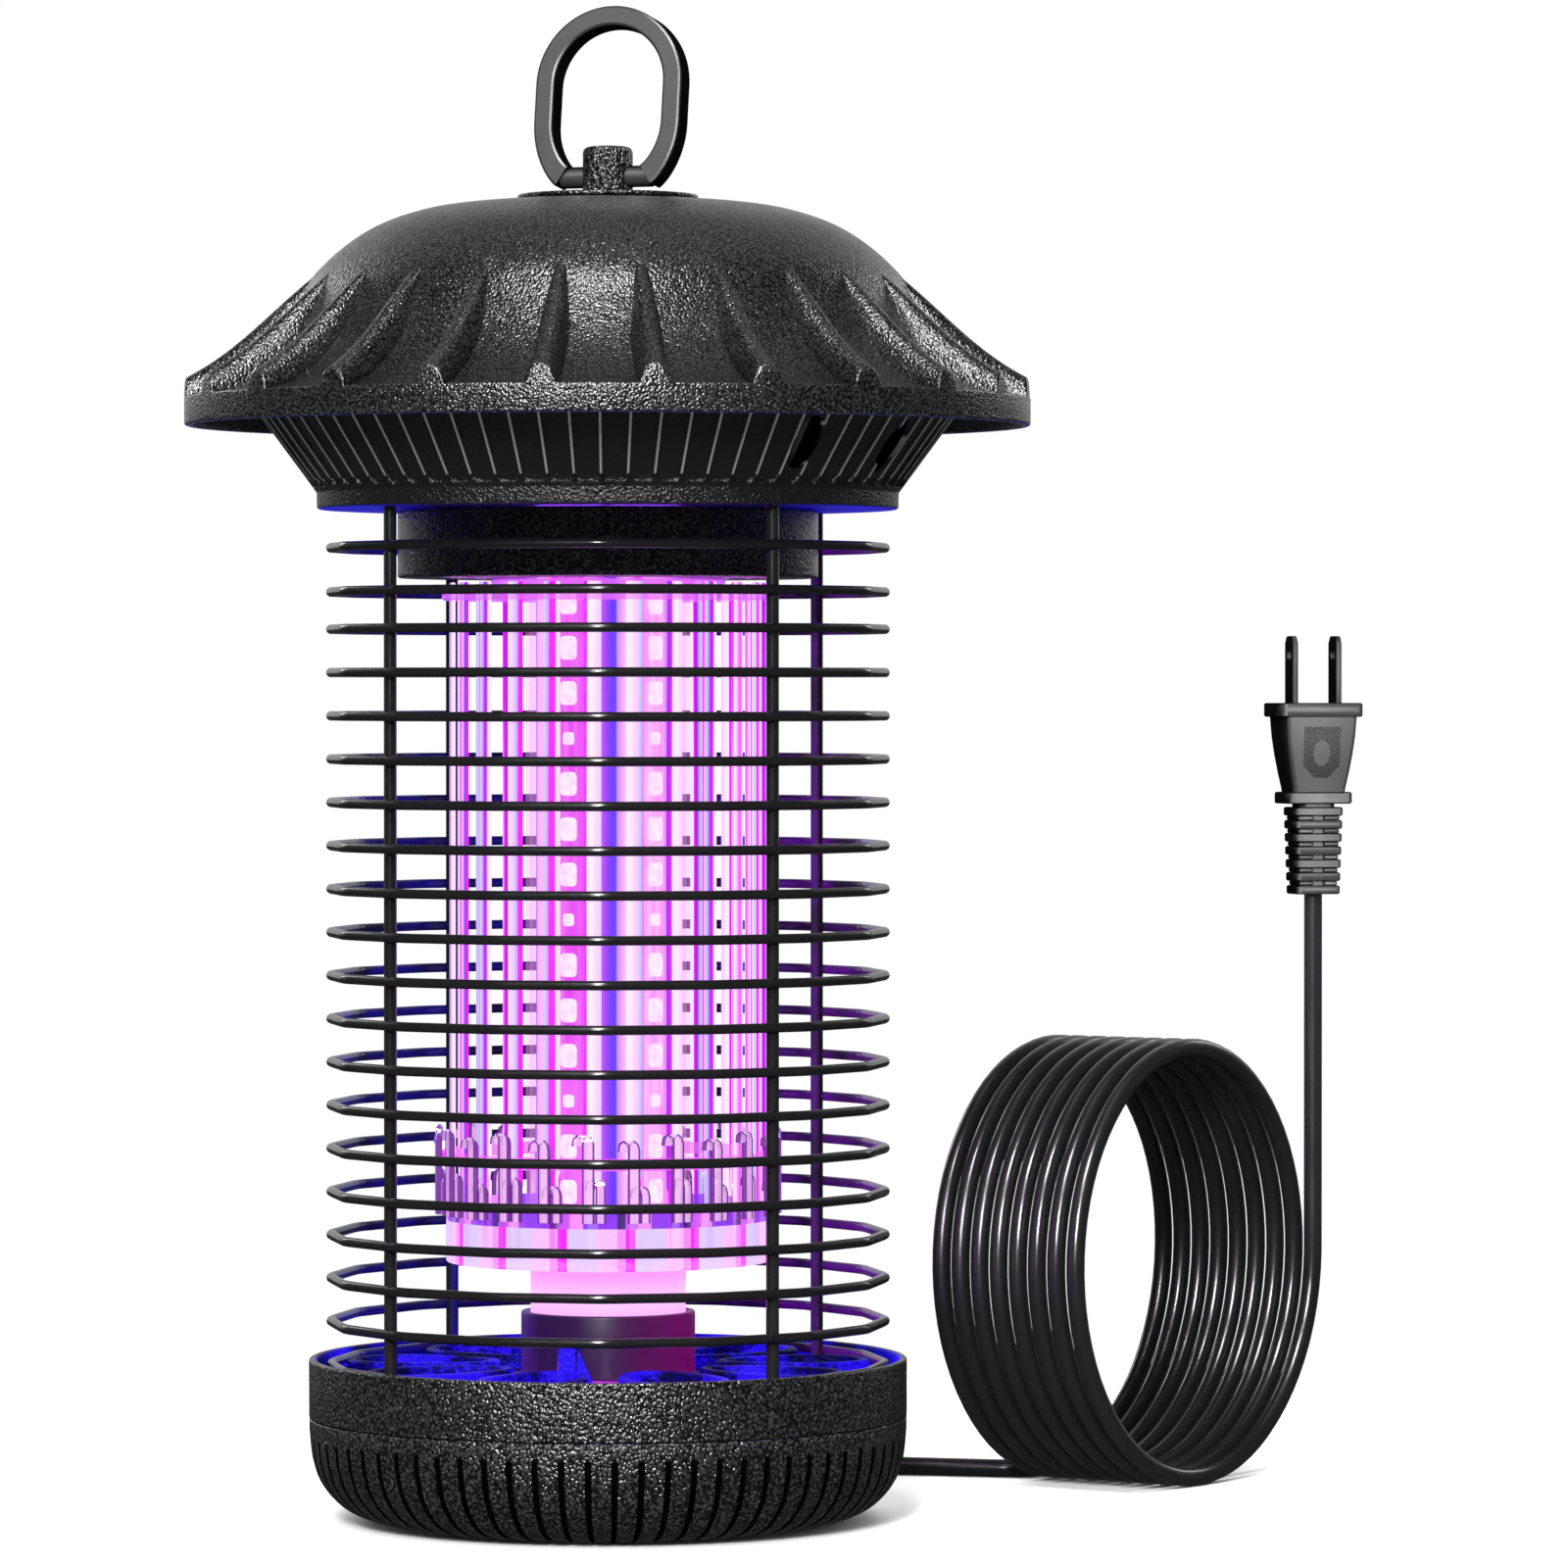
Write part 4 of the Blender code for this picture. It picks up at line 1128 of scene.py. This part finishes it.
def make_crown():
    """Clear crown at the grid's foot: a drum, two rows of hooked fingers with thin dark rails of painted
    shade along their sides, and the clip ring.
    """
    drum = pot_outline(41.3 * MM, 12 * MM, 66.7 * MM, 81.6 * MM, 2.3, 2)
    turned_piece("crown_drum", drum, (0.5, 3), 144, DRUM, "clear_plastic", "lower_insulator")
    webs, rims = bmesh.new(), bmesh.new()
    for k in range(GRID_STRIPS):
        tall = (15 * k + 6.5 + GRID_YAW, 43.6, 101 if k % 2 else 99.5)
        short = (15 * k + 10.5 + GRID_YAW, 42.6, 90 if k % 2 else 88)
        for hook, width in ((tall, 2.2), (short, 1.7)):
            finger(webs, *hook, width)
            # Thin dark rails beside each finger: painted shade along its sides.
            for side in (1, -1):
                finger(rims, *hook, 0.4, side * (width / 2 + 0.2))
    soft_edges(webs, 0.15)
    piece("crown_fingers", mesh_of("crown_fingers", webs), CROWN_CLEAR, "lantern", "clear_plastic")
    piece("crown_finger_rims", mesh_of("crown_finger_rims", rims), CROWN_EDGE_SHADE, "lantern", "clear_plastic")
    foot, top = extent("clip_ring")[1:]
    band = tube_outline(42.4 * MM, 39 * MM, foot, top)
    turned_piece("clip_ring_band", band, (0.4, 3), 128, RING_CLEAR, "clear_plastic", "clip_ring")


def make_top_disc():
    """Clear disc over the grid, with a raised ring round the lamp."""
    r, foot, top = extent("upper_insulator")
    hole = extent("lamp_socket")[0]
    deck = foot + 2.5 * MM
    outline = [(r, deck), (r, foot), (hole, foot), (hole, top), (30 * MM, top), (30 * MM, deck)]
    turned_piece("top_disc", outline, (0.9, 4), 128, DISC_CLEAR, "clear_plastic", "upper_insulator")


# ---- Hanger ----


def make_hanger():
    """Flat disc on the crown, and the post with a broken top edge and a cross-bore."""
    r, foot, top = extent("hanger_disc")
    disc = tube_outline(r, 3.4 * MM, foot, top)
    turned_piece("hanger_disc_skin", disc, (0.45, 3), 96, GRAINED, "grained_black", "hanger_disc")
    outline = [(0.02, 350.8), (4.6, 350.75), (5.5, 350.5), (6.1, 350.0), (6.4, 349.2), (6.4, 339.2)]
    outline += [(6.2, 338.7), (3, 338.7), (3, 323.6), (0.02, 323.6)]
    mesh = turned("post_turned", in_metres(outline), 64)
    post = piece("swivel_post_skin", mesh, FINE_GRAINED, "hanger", "grained_black", "swivel_post")
    bore = bmesh.new()
    add_cone(bore, 3.05, 3.05, 30, shift(0, 0, PIN_Z) @ turn("Z", RING_YAW) @ turn("Y", 90), 48)
    cut_away(post, bore, "bore_cutter")


def ring_line(half, top, foot):
    """Half circle over straight sides that draw in to the pin, from the right foot round to the left."""
    x, z = foot
    side_foot = 14.0
    steps = 14
    right = []
    for k in range(steps + 1):
        a = math.pi / 2 * (1 - k / steps)
        draw_in = (half - x) * max(0.0, math.cos(a)) ** 1.6
        right.append((x + draw_in, side_foot - (side_foot - z) * math.sin(a)))
    angles = [math.pi * k / 40 for k in range(41)]
    arc = [(half * math.cos(a), top - half + half * math.sin(a)) for a in angles]
    return right + arc + [(-u, w) for u, w in reversed(right)]


def make_hanging_ring():
    """Ring with flat faces and softly broken edges, closed by a round pin and leaning back on it."""
    half, soft = 3.5, 0.7
    bm = bmesh.new()
    rings = []
    for (ox, oz), (ix, iz) in zip(ring_line(20.0, 43.9, (13.1, -2.6)), ring_line(14.9, 38.8, (9.9, 2.5))):
        out = Vector((ox - ix, 0, oz - iz)).normalized() * soft
        outer, inner = Vector((ox, 0, oz)), Vector((ix, 0, iz))
        front = [
            outer - Vector((0, half - soft, 0)), outer - out * 0.3 - Vector((0, half - soft * 0.3, 0)),
            outer - out - Vector((0, half, 0)), inner + out - Vector((0, half, 0)),
            inner + out * 0.3 - Vector((0, half - soft * 0.3, 0)), inner - Vector((0, half - soft, 0)),
        ]
        section = front + [Vector((p.x, -p.y, p.z)) for p in reversed(front)]
        rings.append(corners_on(bm, Matrix(), section))
    bridge(bm, rings)
    stand = shift(0, 0, PIN_Z) @ turn("Z", RING_YAW) @ turn("X", -RING_LEAN)
    mesh = mesh_of("hanging_ring_loop", bm)
    mesh.transform(stand)
    piece("hanging_ring_loop", mesh, RING_BLACK, "ring", "powder_coat", "hanging_ring", sharp=22)
    pin = bmesh.new()
    add_cone(pin, 2.75, 2.75, 25.6, turn("Y", 90), 48)
    soft_edges(pin, 0.6, 3, [edge for edge in pin.edges if edge.calc_face_angle() > 1])
    mesh = mesh_of("hanging_ring_pin", pin)
    mesh.transform(stand)
    piece("hanging_ring_pin", mesh, RING_BLACK, "ring", "powder_coat")


# ---- Cord and plug ----


def floor_direction(angle):
    return Vector((math.cos(math.radians(angle)), math.sin(math.radians(angle)), 0))


def coil_point(turns):
    """Point on the coil's centre line, a number of turns after it leaves the floor."""
    angle = TAU * turns
    start = COIL_START + floor_direction(HEADING - 90) * COIL_PITCH * turns
    height = CORD_R + COIL_R * (1 - math.cos(angle))
    return start + floor_direction(HEADING) * COIL_R * math.sin(angle) + Vector((0, 0, height))


def make_cord():
    """Mains cord, smoother than the frame's: outlet, floor, a bend into the coil, the coil and its riser."""
    bend_r, steps = 12, 12
    middle = COIL_START - floor_direction(HEADING - 90) * bend_r + Vector((0, 0, CORD_R))
    bend = [middle + floor_direction(HEADING - 160 + 70 * k / steps) * bend_r for k in range(steps)]
    heading = floor_direction(HEADING - 70)
    landing = bend[0] - heading * 66
    leaving = CORD_OUTLET + Vector((0, 30, 0))
    down = interpolate_bezier(CORD_OUTLET, leaving, landing - heading * 40, landing, 40)
    coil = [coil_point(k / 72) for k in range(round(COIL_TURNS * 72) + 1)]
    riser = Vector((coil[-1].x, coil[-1].y, 164.7))
    line = [CORD_OUTLET - Vector((0, 14, 0)), *down, *bend, *coil, riser]
    curve = round_wire("power_cord_run", CORD_R, [in_metres(line)], fineness=5)
    piece("power_cord_run", curve, JACKET, "lantern", "cord_jacket", "power_cord")


def loft(bm, levels):
    """Joins rounded rectangular sections; each level is (height, width, depth, corner radius)."""
    rings = []
    for z, width, depth, soft in levels:
        rings.append(corners_on(bm, Matrix(), [(x, y, z) for x, y in rounded_box(width, depth, soft, 5)]))
    bridge(bm, rings)


def slab(bm, z, height, width, depth, soft):
    """One flange or rib with broken edges."""
    edge = 0.35
    levels = [(z, 2 * edge), (z + edge, 0), (z + height - edge, 0), (z + height, 2 * edge)]
    loft(bm, [(level, width - less, depth - less, soft) for level, less in levels])


def split_slab(bm, z, height, width, depth, slot):
    """A rib with an open slot in its middle."""
    block = (width - slot) / 2
    for side in (-1, 1):
        start = len(bm.verts)
        slab(bm, z, height, block, depth, 0.6)
        bm.verts.ensure_lookup_table()
        for vertex in bm.verts[start:]:
            vertex.co.x += side * (block + slot) / 2 * MM


def make_plug():
    """Moulded plug: two flanges, a waisted body with a grip pad, and a slotted strain relief."""
    end = coil_point(COIL_TURNS)
    place = shift(end.x, end.y, 156.7) @ turn("Z", 18)
    bm = bmesh.new()
    ribs, pitch = 7, 3.55
    loft(bm, [(0, 9.0, 6.6, 2), (25, 10.6, 7.6, 2)])
    for k in range(ribs):
        width = 12.5 + 1.5 * k / ribs
        slab(bm, pitch * k, 2.4, width, width * 0.76, 1.1)
    for k in range(ribs - 1):
        split_slab(bm, pitch * k + 2.3, 1.4, 11.0 + 1.4 * k / 6, 8.4 + k / 6, 3.0)
    slab(bm, 24.6, 3.2, 18.3, 13, 1.4)
    waist = [(27.6, 14.9, 10.4), (29, 15.3, 10.7), (33, 16.9, 11.6), (38, 18.6, 12.6)]
    waist += [(43, 19.8, 13.5), (48.4, 20.5, 14.2)]
    loft(bm, [(*level, 1.1) for level in waist])
    slab(bm, 48.2, 3.8, 23.6, 15.5, 1.5)
    mesh = mesh_of("plug_shell", bm)
    mesh.transform(place)
    piece("plug_shell", mesh, PLUG, "lantern", "cord_jacket", "plug_body", sharp=45)
    make_grip_pad(place)
    for side, x in (("left", -6.35), ("right", 6.35)):
        make_blade(side, x, place)


def make_grip_pad(place):
    """Knurled U-shaped pad round a smooth oval button, on both broad faces."""
    pitch, half_wide, top, turn_z = 0.46, 5.4, 7.0, -1.5

    def on_pad(x, z):
        in_arch = z > turn_z or math.hypot(x, z - turn_z) < half_wide
        return abs(x) < half_wide and z < top and in_arch and math.hypot(x / 2.4, z / 3.4) > 1

    bm = bmesh.new()
    for face in (-1, 1):
        pad = shift(0, face * 6.5, 38.4) @ turn("X", -face * 4.6)
        for i in range(-12, 13):
            for j in range(-16, 17):
                if (i + j) % 2 == 0 and on_pad(i * pitch, j * pitch):
                    stud = pad @ shift(i * pitch, 0, j * pitch) @ turn("X", face * -90)
                    add_cone(bm, 0.36, 0.1, 0.34, stud, 4)
    mesh = mesh_of("plug_grip", bm)
    mesh.transform(place)
    piece("plug_grip", mesh, PLUG_PAD, "lantern", "cord_jacket", smooth=False)


def make_blade(side, x, place):
    """Flat blade with a chamfered tip and its round hole."""
    foot, tip = 45.0, 70.2
    outline = [(-3.17, foot), (-3.17, tip - 2.0), (-2.0, tip), (2.0, tip), (3.17, tip - 2.0), (3.17, foot)]
    bm = bmesh.new()
    middle = shift(x, 0, 0)
    bridge(bm, [corners_on(bm, middle, [(half, y, z) for y, z in outline]) for half in (-0.75, 0.75)])
    soft_edges(bm, 0.2)
    mesh = mesh_of(f"blade_{side}", bm)
    blade = piece(f"blade_{side}", mesh, PLATED, "lantern", "plated_brass", f"plug_blade_{side}")
    hole = bmesh.new()
    add_cone(hole, 1.6, 1.6, 8, shift(x, 0, tip - 5.2) @ turn("Y", 90), 32)
    cut_away(blade, hole, "blade_cutter")
    blade.data.transform(place)


# ---- Parts inside ----


def dress_inner_parts():
    """Keeps the shapes of the parts that are hardly seen, breaks their edges and gives them their looks."""
    looks = {
        "driver_board": board_look("driver_board_look", (0.03, 0.2, 0.09)),
        "hv_transformer": board_look("winding_look", (0.75, 0.58, 0.08)),
        "lamp_top_cap": board_look("cap_look", (0.8, 0.74, 0.85)),
    }
    looks.update(dict.fromkeys(("bowl_seal", "cord_bushing"), RUBBER))
    looks.update(dict.fromkeys(("hv_capacitor_1", "hv_capacitor_2", "bridge_rectifier"), SMOOTH))
    fixings = ["post_washer", "post_nut"] + [f"cover_screw_{k}" for k in (1, 2, 3)]
    fixings += [f"{end}_nut_{k}" for end in ("top", "foot") for k in (1, 2, 3, 4)]
    looks.update(dict.fromkeys(fixings, ZINC))
    for node, material in looks.items():
        break_edges(dress(node, material), 0.25, 50)
    dress("supply_lead", JACKET)


# ---- Studio ----


def make_stage():
    """Pale floor that runs off into a white surround; glossy pieces see it dimmed, as if flagged off."""
    half = 6.0
    mesh = bpy.data.meshes.new("studio_floor")
    corners = [(-half, -half, 0), (half, -half, 0), (half, half, 0), (-half, half, 0)]
    mesh.from_pydata(corners, [], [(0, 1, 2, 3)])
    n = Nodes("studio_floor_look")
    n.set(Base_Color=(0.95, 0.95, 0.95), Roughness=0.6, Specular_IOR_Level=0.05)
    n.bump(n.noise(60), 0.0001, 0.1)
    dim = n.plain("ShaderNodeEmission", (0.05, 0.05, 0.05))
    sweep = n.plain("ShaderNodeEmission", (1, 1, 1))
    distance = n.vector("DISTANCE", n.place, (0.07, 0.05, 0))
    far = n.ramp(distance, [(0.22, 0.0), (0.5, 1.0)], "EASE")
    seen = n.mix_shaders(far, n.shader.outputs[0], sweep)
    n.show(n.mix_shaders(n.add("ShaderNodeLightPath").outputs["Is Glossy Ray"], seen, dim))
    mesh.materials.append(n.material)
    add_object("studio_floor", mesh)


def make_world():
    """White to the eye and for soft fill; mirrored in glossy pieces it is bright only behind the lantern."""
    world = bpy.data.worlds.new("studio_world")
    world.use_nodes = True
    tree = world.node_tree
    white = tree.nodes["Background"]
    white.inputs["Color"].default_value = (1, 1, 1, 1)
    white.inputs["Strength"].default_value = 1.0
    mirrored = tree.nodes.new("ShaderNodeBackground")
    split = tree.nodes.new("ShaderNodeSeparateXYZ")
    tree.links.new(tree.nodes.new("ShaderNodeTexCoord").outputs["Generated"], split.inputs[0])
    behind = tree.nodes.new("ShaderNodeMapRange")
    behind.interpolation_type = "SMOOTHSTEP"
    for name, value in (("From Min", 0.25), ("From Max", 0.95), ("To Min", 0.01), ("To Max", 0.8)):
        behind.inputs[name].default_value = value
    tree.links.new(split.outputs["Y"], behind.inputs["Value"])
    tree.links.new(behind.outputs[0], mirrored.inputs["Strength"])
    mix = tree.nodes.new("ShaderNodeMixShader")
    tree.links.new(tree.nodes.new("ShaderNodeLightPath").outputs["Is Glossy Ray"], mix.inputs["Fac"])
    tree.links.new(white.outputs[0], mix.inputs[1])
    tree.links.new(mirrored.outputs[0], mix.inputs[2])
    tree.links.new(mix.outputs[0], tree.nodes["World Output"].inputs["Surface"])
    world.cycles.sampling_method = "NONE"
    bpy.context.scene.world = world


def area_light(name, place, target, size, power, mirrored=True):
    """Rectangular light; place, target and size in metres."""
    light = bpy.data.lights.new(name, "AREA")
    light.shape = "RECTANGLE"
    light.size, light.size_y = size
    light.energy = power
    obj = add_object(name, light)
    obj.location = place
    obj.rotation_euler = (Vector(target) - Vector(place)).to_track_quat("-Z", "Y").to_euler()
    obj.visible_glossy = mirrored
    return obj


def lamp_light(name, z, power):
    """Blue light that the lamp itself gives, from a point on the lantern's axis."""
    light = bpy.data.lights.new(name, "POINT")
    light.energy = power
    light.color = (0.25, 0.05, 1.0)
    light.shadow_soft_size = 0.02
    add_object(name, light).location = (0, 0, z)


def light_only(light, *names):
    """Lets one light reach only some pieces, as a small card held close to them would."""
    group = bpy.data.collections.new(light.name + "_reach")
    for name in names:
        group.objects.link(bpy.data.objects[name])
    light.light_linking.receiver_collection = group


def light_all_but(light, name):
    """Keeps one light off one piece, as a flag in front of the lamp would."""
    group = bpy.data.collections.new(light.name + "_flag")
    group.objects.link(bpy.data.objects[name])
    group.collection_objects[0].light_linking.link_state = "EXCLUDE"
    light.light_linking.receiver_collection = group


def make_lights():
    """Two boxes in front, edge lights behind, soft fill, small cards, and the lamp's own spill."""
    area_light("key_box", (-0.16, -1.0, 1.3), (0, 0, 0.2), (0.36, 0.36), 38)
    front = area_light("front_box", (-0.22, -1.6, 0.7), (0, 0, 0.1), (0.3, 0.4), 54)
    light_all_but(front, "lamp_housing_skin")
    area_light("top_box", (0.1, 0.0, 1.5), (0, 0, 0.3), (0.6, 0.6), 1.0)
    area_light("left_edge", (-0.9, 1.2, 0.75), (0, 0, 0.3), (0.3, 0.5), 2.5)
    area_light("right_edge", (1.0, 1.2, 0.75), (0, 0, 0.3), (0.3, 0.5), 2.5)
    area_light("floor_fill", (0.1, 0.3, 2.5), (0.1, 0.3, 0), (3.0, 3.0), 40, mirrored=False)
    card = area_light("ring_card", (-0.73, -0.66, 1.05), (0, 0, 0.365), (0.7, 0.7), 6)
    light_only(card, "hanging_ring_loop", "hanging_ring_pin")
    card = area_light("plug_card", (0.9, -0.84, 0.3), (0.19, 0.13, 0.19), (0.6, 0.6), 16)
    light_only(card, "plug_shell", "plug_grip")
    card = area_light("wire_card", (-0.12, -1.1, 1.2), (0, 0, 0.2), (0.2, 0.08), 7)
    light_only(card, "cage_rings", "cage_rods")
    for k, z in enumerate((0.05, 0.11, 0.19, 0.25)):
        lamp_light(f"lamp_spill_{k}", z, 0.25)


def make_camera():
    """Long lens, level with the lantern's waist, in front of it and a little to its right."""
    camera = bpy.data.cameras.new("camera")
    camera.sensor_width = 36
    camera.lens = 180
    obj = add_object("camera", camera)
    obj.location = (0.0449, -2.0, 0.2133)
    obj.rotation_euler = (math.radians(90 - 0.716), 0, 0)
    bpy.context.scene.camera = obj
    bpy.context.scene.view_settings.view_transform = "Standard"


make_top_cover()
make_upper_skirt()
make_vent_bars()
make_lamp_housing()
make_collection_bowl()
make_base_band()
make_tray()
make_cage()
make_grid()
make_lamp()
make_lamp_foot()
make_crown()
make_top_disc()
make_hanger()
make_hanging_ring()
make_cord()
make_plug()
dress_inner_parts()
make_stage()
make_world()
make_lights()
make_camera()
